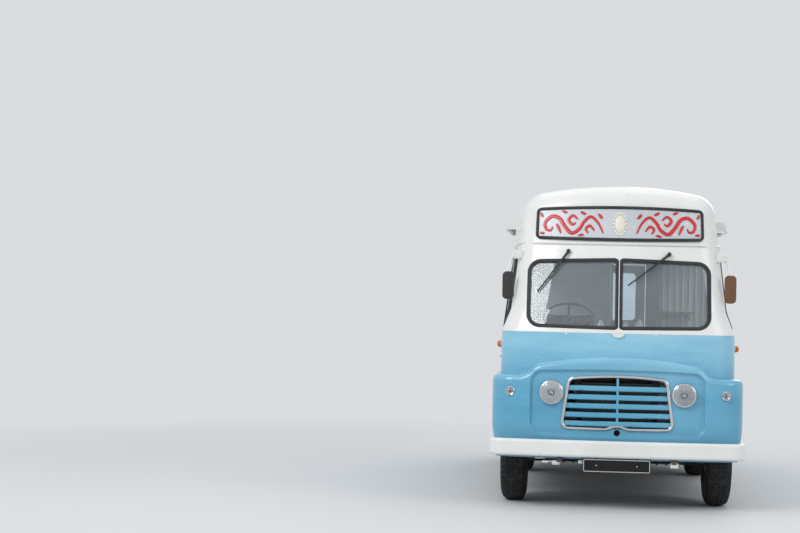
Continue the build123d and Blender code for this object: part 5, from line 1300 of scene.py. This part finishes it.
# %% Paper cones
CONE = ((54, 0), (52, 5), (15, 80), (12, 86), (0, 88), (0, 85), (11, 80), (49, 1), (54, 0))
bm = bmesh.new()
for x, y, count in ((-0.140, -2.13, 3), (0.056, -2.13, 2), (0.172, -2.12, 4)):
    for index in range(count):
        add_turned(bm, CONE, Matrix.Translation((x, y, 1.3955 + 0.009 * index)), 36)
piece_from(bm, "paper_cones", "cone_white")

# %% [markdown]
# The gear lever comes out of a rubber boot in the engine cover, and the handbrake stands beside it.
# Both are bent rods, and four catches hold the cover down.

# %% Levers and catches
bm = bmesh.new()
boot = ((52, 0), (50, 7), (34, 17), (26, 37), (18, 43), (10, 57), (0, 59))
add_turned(bm, boot, Matrix.Translation((-0.080, -1.560, 1.109)))
knob = ((0, 24), (10, 22), (19, 14), (22, 0), (19, -14), (10, -22), (0, -24))
add_turned(bm, knob, Matrix.Translation((-0.118, -1.640, 1.370)), 28)
piece_from(bm, "gear_lever_knob", "wheel_black")

GEAR_LEVER = (
    (-0.080, -1.560, 1.150), (-0.084, -1.570, 1.220), (-0.104, -1.612, 1.310), (-0.117, -1.638, 1.362),
)
HANDBRAKE = (
    (0.120, -1.225, 1.060), (0.120, -1.262, 1.120), (0.120, -1.330, 1.178), (0.120, -1.420, 1.215),
)
bm = bmesh.new()
add_trim(bm, facing(GEAR_LEVER, (1, 0, 0.1)), 12, 12, 12)
add_trim(bm, facing(HANDBRAKE, (1, 0, 0)), 20, 14, 12)
for side, _ in SIDES:
    for y in (-2.00, -1.36):
        add_block(bm, (side * 0.330, y - 0.022, 0.900), (side * 0.349, y + 0.022, 0.985), 4)
piece_from(bm, "levers_and_catches", "bright_plate")

# %% [markdown]
# Behind the driver hangs a wire screen, and the other partition has upright ribs and a small shelf.
# Through the glass they are what the cab shows most. Every wire is a plain block of six faces,
# because there are many of them.

# %% Partitions
wall_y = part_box("bulkhead")[0].y
bm = bmesh.new()
for x in evenly(-0.690, -0.050, 33):
    add_block(bm, (x - 0.0024, wall_y - 0.0138, 1.455), (x + 0.0024, wall_y - 0.0102, 2.000))
for z in evenly(1.458, 1.998, 28):
    add_block(bm, (-0.692, wall_y - 0.0174, z - 0.0024), (-0.048, wall_y - 0.0138, z + 0.0024))
for x, z, far_x, far_z in (
    (-0.706, 1.440, -0.690, 2.014), (-0.050, 1.440, -0.034, 2.014),
    (-0.706, 1.440, -0.034, 1.456), (-0.706, 1.998, -0.034, 2.014),
):
    add_block(bm, (x, wall_y - 0.018, z), (far_x, wall_y, far_z), 3)
piece_from(bm, "wire_screen", "cone_white")

bm = bmesh.new()
for x in evenly(0.420, 0.826, 8):
    add_block(bm, (x - 0.010, wall_y - 0.012, 0.760), (x + 0.010, wall_y, 2.060), 4)
for z in (1.420, 1.180):
    add_block(bm, (0.402, wall_y - 0.014, z - 0.016), (0.850, wall_y, z + 0.016), 4)
piece_from(bm, "partition_ribs", "cream_panel")

bm = bmesh.new()
add_block(bm, (0.398, wall_y - 0.150, 1.560), (0.690, wall_y - 0.013, 1.578), 3)
for x in (0.430, 0.650):
    add_block(bm, (x - 0.008, wall_y - 0.120, 1.500), (x + 0.008, wall_y - 0.013, 1.562), 3)
piece_from(bm, "partition_shelf", "varnished_wood")

# %% [markdown]
# ## Freezer and counter
# The freezer gets what makes it one: doors with seals and a handle, a cooling grille, two dispensing
# taps with their levers, and a drip tray. They are blocks, bars and turned shapes set on the front
# of the CAD cabinet, whose box gives their places.

# %% Freezer fittings
low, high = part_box("ice_cream_machine")
front_x, middle_y, handle_y = high.x, (low.y + high.y) / 2, high.y - 0.090
seals, fittings, dark = (bmesh.new() for _ in range(3))
for low_z, high_z in ((0.790, 1.300), (1.640, 1.940)):
    near, far = low.y + 0.05, high.y - 0.05
    outline = rounded(((near, low_z), (far, low_z), (far, high_z), (near, high_z)), 0.02, 0.06)
    add_trim(seals, facing([(front_x, y, z) for y, z in outline], (1, 0, 0)), 7, 7, closed=True)
tray = (front_x - 0.002, middle_y - 0.170, 1.355), (front_x + 0.060, middle_y + 0.170, 1.372)
add_block(fittings, *tray, 4)
for z in evenly(1.675, 1.895, 12):
    add_block(dark, (front_x - 0.004, low.y + 0.090, z), (front_x + 0.003, handle_y, z + 0.008), 1)
for y in (middle_y - 0.085, middle_y + 0.085):
    add_block(fittings, (front_x - 0.002, y - 0.034, 1.455), (front_x + 0.075, y + 0.034, 1.585), 12, 3)
    nozzle = ((0, -50), (11, -50), (16, -34), (19, -10), (19, 4), (0, 6))
    add_turned(fittings, nozzle, Matrix.Translation((front_x + 0.045, y, 1.456)), 24)
    add_bar(fittings, (front_x + 0.060, y, 1.560), (front_x + 0.120, y, 1.500), 6)
    knob = ((0, 16), (10, 13), (14, 0), (10, -13), (0, -16))
    add_turned(dark, knob, Matrix.Translation((front_x + 0.124, y, 1.496)), 20)
add_bar(fittings, (front_x + 0.026, handle_y, 0.960), (front_x + 0.026, handle_y, 1.150), 9)
for z in (0.985, 1.125):
    add_bar(fittings, (front_x - 0.004, handle_y, z), (front_x + 0.028, handle_y, z), 6)
piece_from(seals, "freezer_seals", "rubber_seal")
piece_from(fittings, "freezer_fittings", "bright_plate")
piece_from(dark, "freezer_grille_and_knobs", "plate_black")

# %% [markdown]
# On the counter stand red sauce bottles with white spouts, and stacks of paper tubs beside a box.
# Turned profiles make them, and a stack repeats one tub at a small step.

# %% Bottles and tubs on the counter
BOTTLE = ((0, 0), (28, 0), (31, 4), (31, 130), (26, 152), (13, 166), (13, 178), (0, 178))
SPOUT = ((0, 222), (2.5, 220), (7, 196), (16, 190), (17, 176), (0, 176))
TUB = ((0, 0), (29, 0), (41, 62), (43.5, 63), (43.5, 66), (40, 66), (28, 3), (0, 3))
counter_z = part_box("counter")[1].z
bottles, caps, tubs = (bmesh.new() for _ in range(3))
for y in (-0.36, -0.27, -0.18):
    at = Matrix.Translation((0.820, y, counter_z))
    add_turned(bottles, BOTTLE, at, 28)
    add_turned(caps, SPOUT, at, 24)
for x, y, count in ((0.800, 1.10, 7), (0.800, 1.23, 9), (0.900, 1.16, 5)):
    for index in range(count):
        add_turned(tubs, TUB, Matrix.Translation((x, y, counter_z + 0.012 * index)), 28)
add_block(tubs, (0.720, 0.10, counter_z), (0.880, 0.34, counter_z + 0.120), 4)
piece_from(bottles, "sauce_bottles", "red_gloss")
piece_from(caps, "sauce_caps", "cone_white")
piece_from(tubs, "paper_tubs", "cone_white")

# %% [markdown]
# ## Doors from inside
# Each side door has a trim card on its inner skin, with a latch lever and a window winder. The card
# is a thin slab: rays from inside find the skin at each point of a small grid, and solidify gives it
# its thickness.

# %% Door cards
for side, name in SIDES:
    panel, body = "door_" + name, name + "_door"
    card = bmesh.new()
    for vert in bmesh.ops.create_grid(card, x_segments=10, y_segments=12, size=0.5)["verts"]:
        start = (side * 0.30, -1.010 + vert.co.x * 0.520, 1.055 + vert.co.y * 0.600)
        vert.co = on_panel(panel, start, (side, 0, 0))[0] - Vector((side * 0.0045, 0, 0))
    bmesh.ops.recalc_face_normals(card, faces=card.faces)
    bmesh.ops.solidify(card, geom=card.faces[:], thickness=0.0035)
    piece_from(card, "door_card_" + name, "floor_lino", body)
    bm = bmesh.new()
    for y, z, length in ((-1.160, 1.130, 0.100), (-0.830, 1.190, 0.085)):
        hub = on_panel(panel, (side * 0.30, y, z), (side, 0, 0))[0] - Vector((side * 0.008, 0, 0))
        add_turned(bm, ((0, 16), (10, 15), (13, 6), (22, 3), (24, -3)), aim(hub, (-side, 0, 0)), 28)
        arm = [hub + Vector((-side * 0.013, 0, -drop)) for drop in evenly(0, length, 6)]
        add_trim(bm, facing(arm, (-side, 0, 0)), 14, 8, widths=(1.2, 1.1, 1.0, 0.9, 0.85, 0.8))
        add_turned(bm, ((0, 34), (10, 32), (12, 20), (8, 8), (8, 0)), aim(arm[-1], (-side, 0, 0)), 20)
    piece_from(bm, "door_levers_" + name, "bright_plate", body)

# %% [markdown]
# ## Under the body
# Springs are clamped to their axles by U-bolts, each a rod bent over the leaves with nuts below, and
# nuts hold the spring eyes. From outside only the rods' ends and the nuts show, so straight bars and
# six-sided turned shapes do.

# %% Spring clamps and shackles
LEAF_X = 0.380
FRONT_Y, REAR_Y = WHEEL_CENTRES["front_left"].y, WHEEL_CENTRES["rear_left"].y
NUT = ((0, 0), (11, 0), (13, 3), (13, 12), (0, 12))
bm = bmesh.new()
# axle place, height of the rod's crown, height of the nuts, half spacing
for axle_y, crown, foot, spacing in ((FRONT_Y, 0.492, 0.318, 0.040), (REAR_Y, 0.462, 0.262, 0.048)):
    for side, _ in SIDES:
        for y in (axle_y - spacing, axle_y + spacing):
            for x in (side * LEAF_X - 0.040, side * LEAF_X + 0.040):
                add_bar(bm, (x, y, foot), (x, y, crown), 6.5)
                add_turned(bm, NUT, Matrix.Translation((x, y, foot + 0.004)), 6)
            add_bar(bm, (side * LEAF_X - 0.044, y, crown), (side * LEAF_X + 0.044, y, crown), 6.5)
piece_from(bm, "spring_clamps", "chassis_black")

bm = bmesh.new()
leaf_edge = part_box("leaf_springs")[1].x - LEAF_X
for axle_y, half in ((FRONT_Y, 0.430), (REAR_Y, 0.560)):
    for y in (axle_y - half, axle_y + half):
        for side, _ in SIDES:
            eye, _ = on_panel("leaf_springs", (side * LEAF_X, y, 0.30), (0, 0, 1), near=False)
            for face in (-1, 1) if eye else ():
                at = aim((side * LEAF_X + face * leaf_edge, y, eye.z + 0.020), (face, 0, 0))
                add_turned(bm, ((0, 16), (10, 16), (13, 13), (13, 1)), at, 6)
piece_from(bm, "shackle_nuts", "engine_grey")

# %% [markdown]
# The frame is riveted, and a brake pipe runs along one rail. Rays against the rails find the place of
# each rivet, so none hangs in the air where a rail ends. A rivet has only a few faces.

# %% Rivets and brake pipe
rail_x = abs(on_panel("chassis_frame", (0, 0.30, 0.640), (1, 0, 0))[0].x)
bm = bmesh.new()
for side, _ in SIDES:
    for y in evenly(-1.55, 2.05, 26):
        for z in (0.600, 0.665):
            hit, _ = on_panel("chassis_frame", (side * 0.90, y, z), (-side, 0, 0), near=False)
            if hit and abs(abs(hit.x) - rail_x) < 0.12:
                add_turned(bm, ((0, 4), (5, 3), (8, 0)), aim(hit, (side, 0, 0)), 8)
piece_from(bm, "frame_rivets", "chassis_black")

bm = bmesh.new()
pipe = [(0.006 - rail_x, y, z) for y, z in ((-1.55, 0.600), (-0.40, 0.604), (0.40, 0.598), (0.64, 0.610))]
add_trim(bm, facing(pipe, (1, 0, 0)), 7, 7)
piece_from(bm, "brake_pipe", "brass_brown")

# %% [markdown]
# ## Filler cap and hood edges
# A plated cap closes the filler on the nearside, and each serving hood has a rolled bead on its rim.
# The cap is turned, with a bar to grip it by, and the bead is swept along three straight runs.

# %% Filler cap and hood beads
bm = bmesh.new()
point, normal = seat("side_panel_left", 1, y_at(2300), 0.960)
cap = ((46, -4), (46, 2), (41, 3.5), (36, 3.5), (35, 6.5), (32, 8), (0, 8.5))
add_turned(bm, cap, aim(point, normal), 40)
add_block(bm, point + Vector((0.005, -0.030, -0.004)), point + Vector((0.0095, 0.030, 0.004)), 2)
piece_from(bm, "fuel_filler_cap", "bright_plate")

INSET = 0.0045
bm = bmesh.new()
low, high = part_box("canopies")
for side, _ in SIDES:
    x, near, far = side * (high.x - INSET), low.y + INSET, high.y - INSET
    corners = ((side * 0.9, near), (x, near), (x, far), (side * 0.9, far))
    run = [Vector((*spot, low.z + 0.005)) for spot in corners]
    path = [run[0]]
    for start, end in zip(run, run[1:]):
        path += [start.lerp(end, 0.5), end]
    add_trim(bm, facing(path, (0, 0, 1)), 9, 9, 10)
piece_from(bm, "hood_beads", "bright_plate")

# %% [markdown]
# The floor is a large pale disc. Near the truck it keeps its shadow, and far away it fades into the
# colour of the sky, so that no horizon shows.

# %% Floor
FLOOR_RADIUS = 150
bm = bmesh.new()
bmesh.ops.create_circle(bm, cap_ends=True, radius=FLOOR_RADIUS, segments=96)
floor = in_scene("floor", bpy.data.meshes.new("floor"))
bm.to_mesh(floor.data)
bm.free()
floor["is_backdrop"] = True
tree, shader = new_material("studio_floor")
shader.inputs["Base Color"].default_value = (0.66, 0.67, 0.68, 1)
shader.inputs["Roughness"].default_value = 0.75
distance = node(tree, "VectorMath", object_place(tree), operation="LENGTH").outputs["Value"]
seen = times(tree, spread(tree, distance, 2.9, 8.5), seen_directly(tree))
glow = node(tree, "Emission", (*SKY, 1), 1.0)
mixed = node(tree, "MixShader", seen, shader.outputs[0], glow.outputs[0])
tree.links.new(mixed.outputs[0], tree.nodes["Material Output"].inputs[0])
dress(floor, "studio_floor")
print("floor radius", FLOOR_RADIUS, "m")

# %% [markdown]
# The small pieces must not make the truck larger than its CAD model, so the box round everything
# that renders, but the floor, is printed.

# %% Measure and finish
low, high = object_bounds()
print("visual box", [round(v, 4) for v in (*low, *high)])
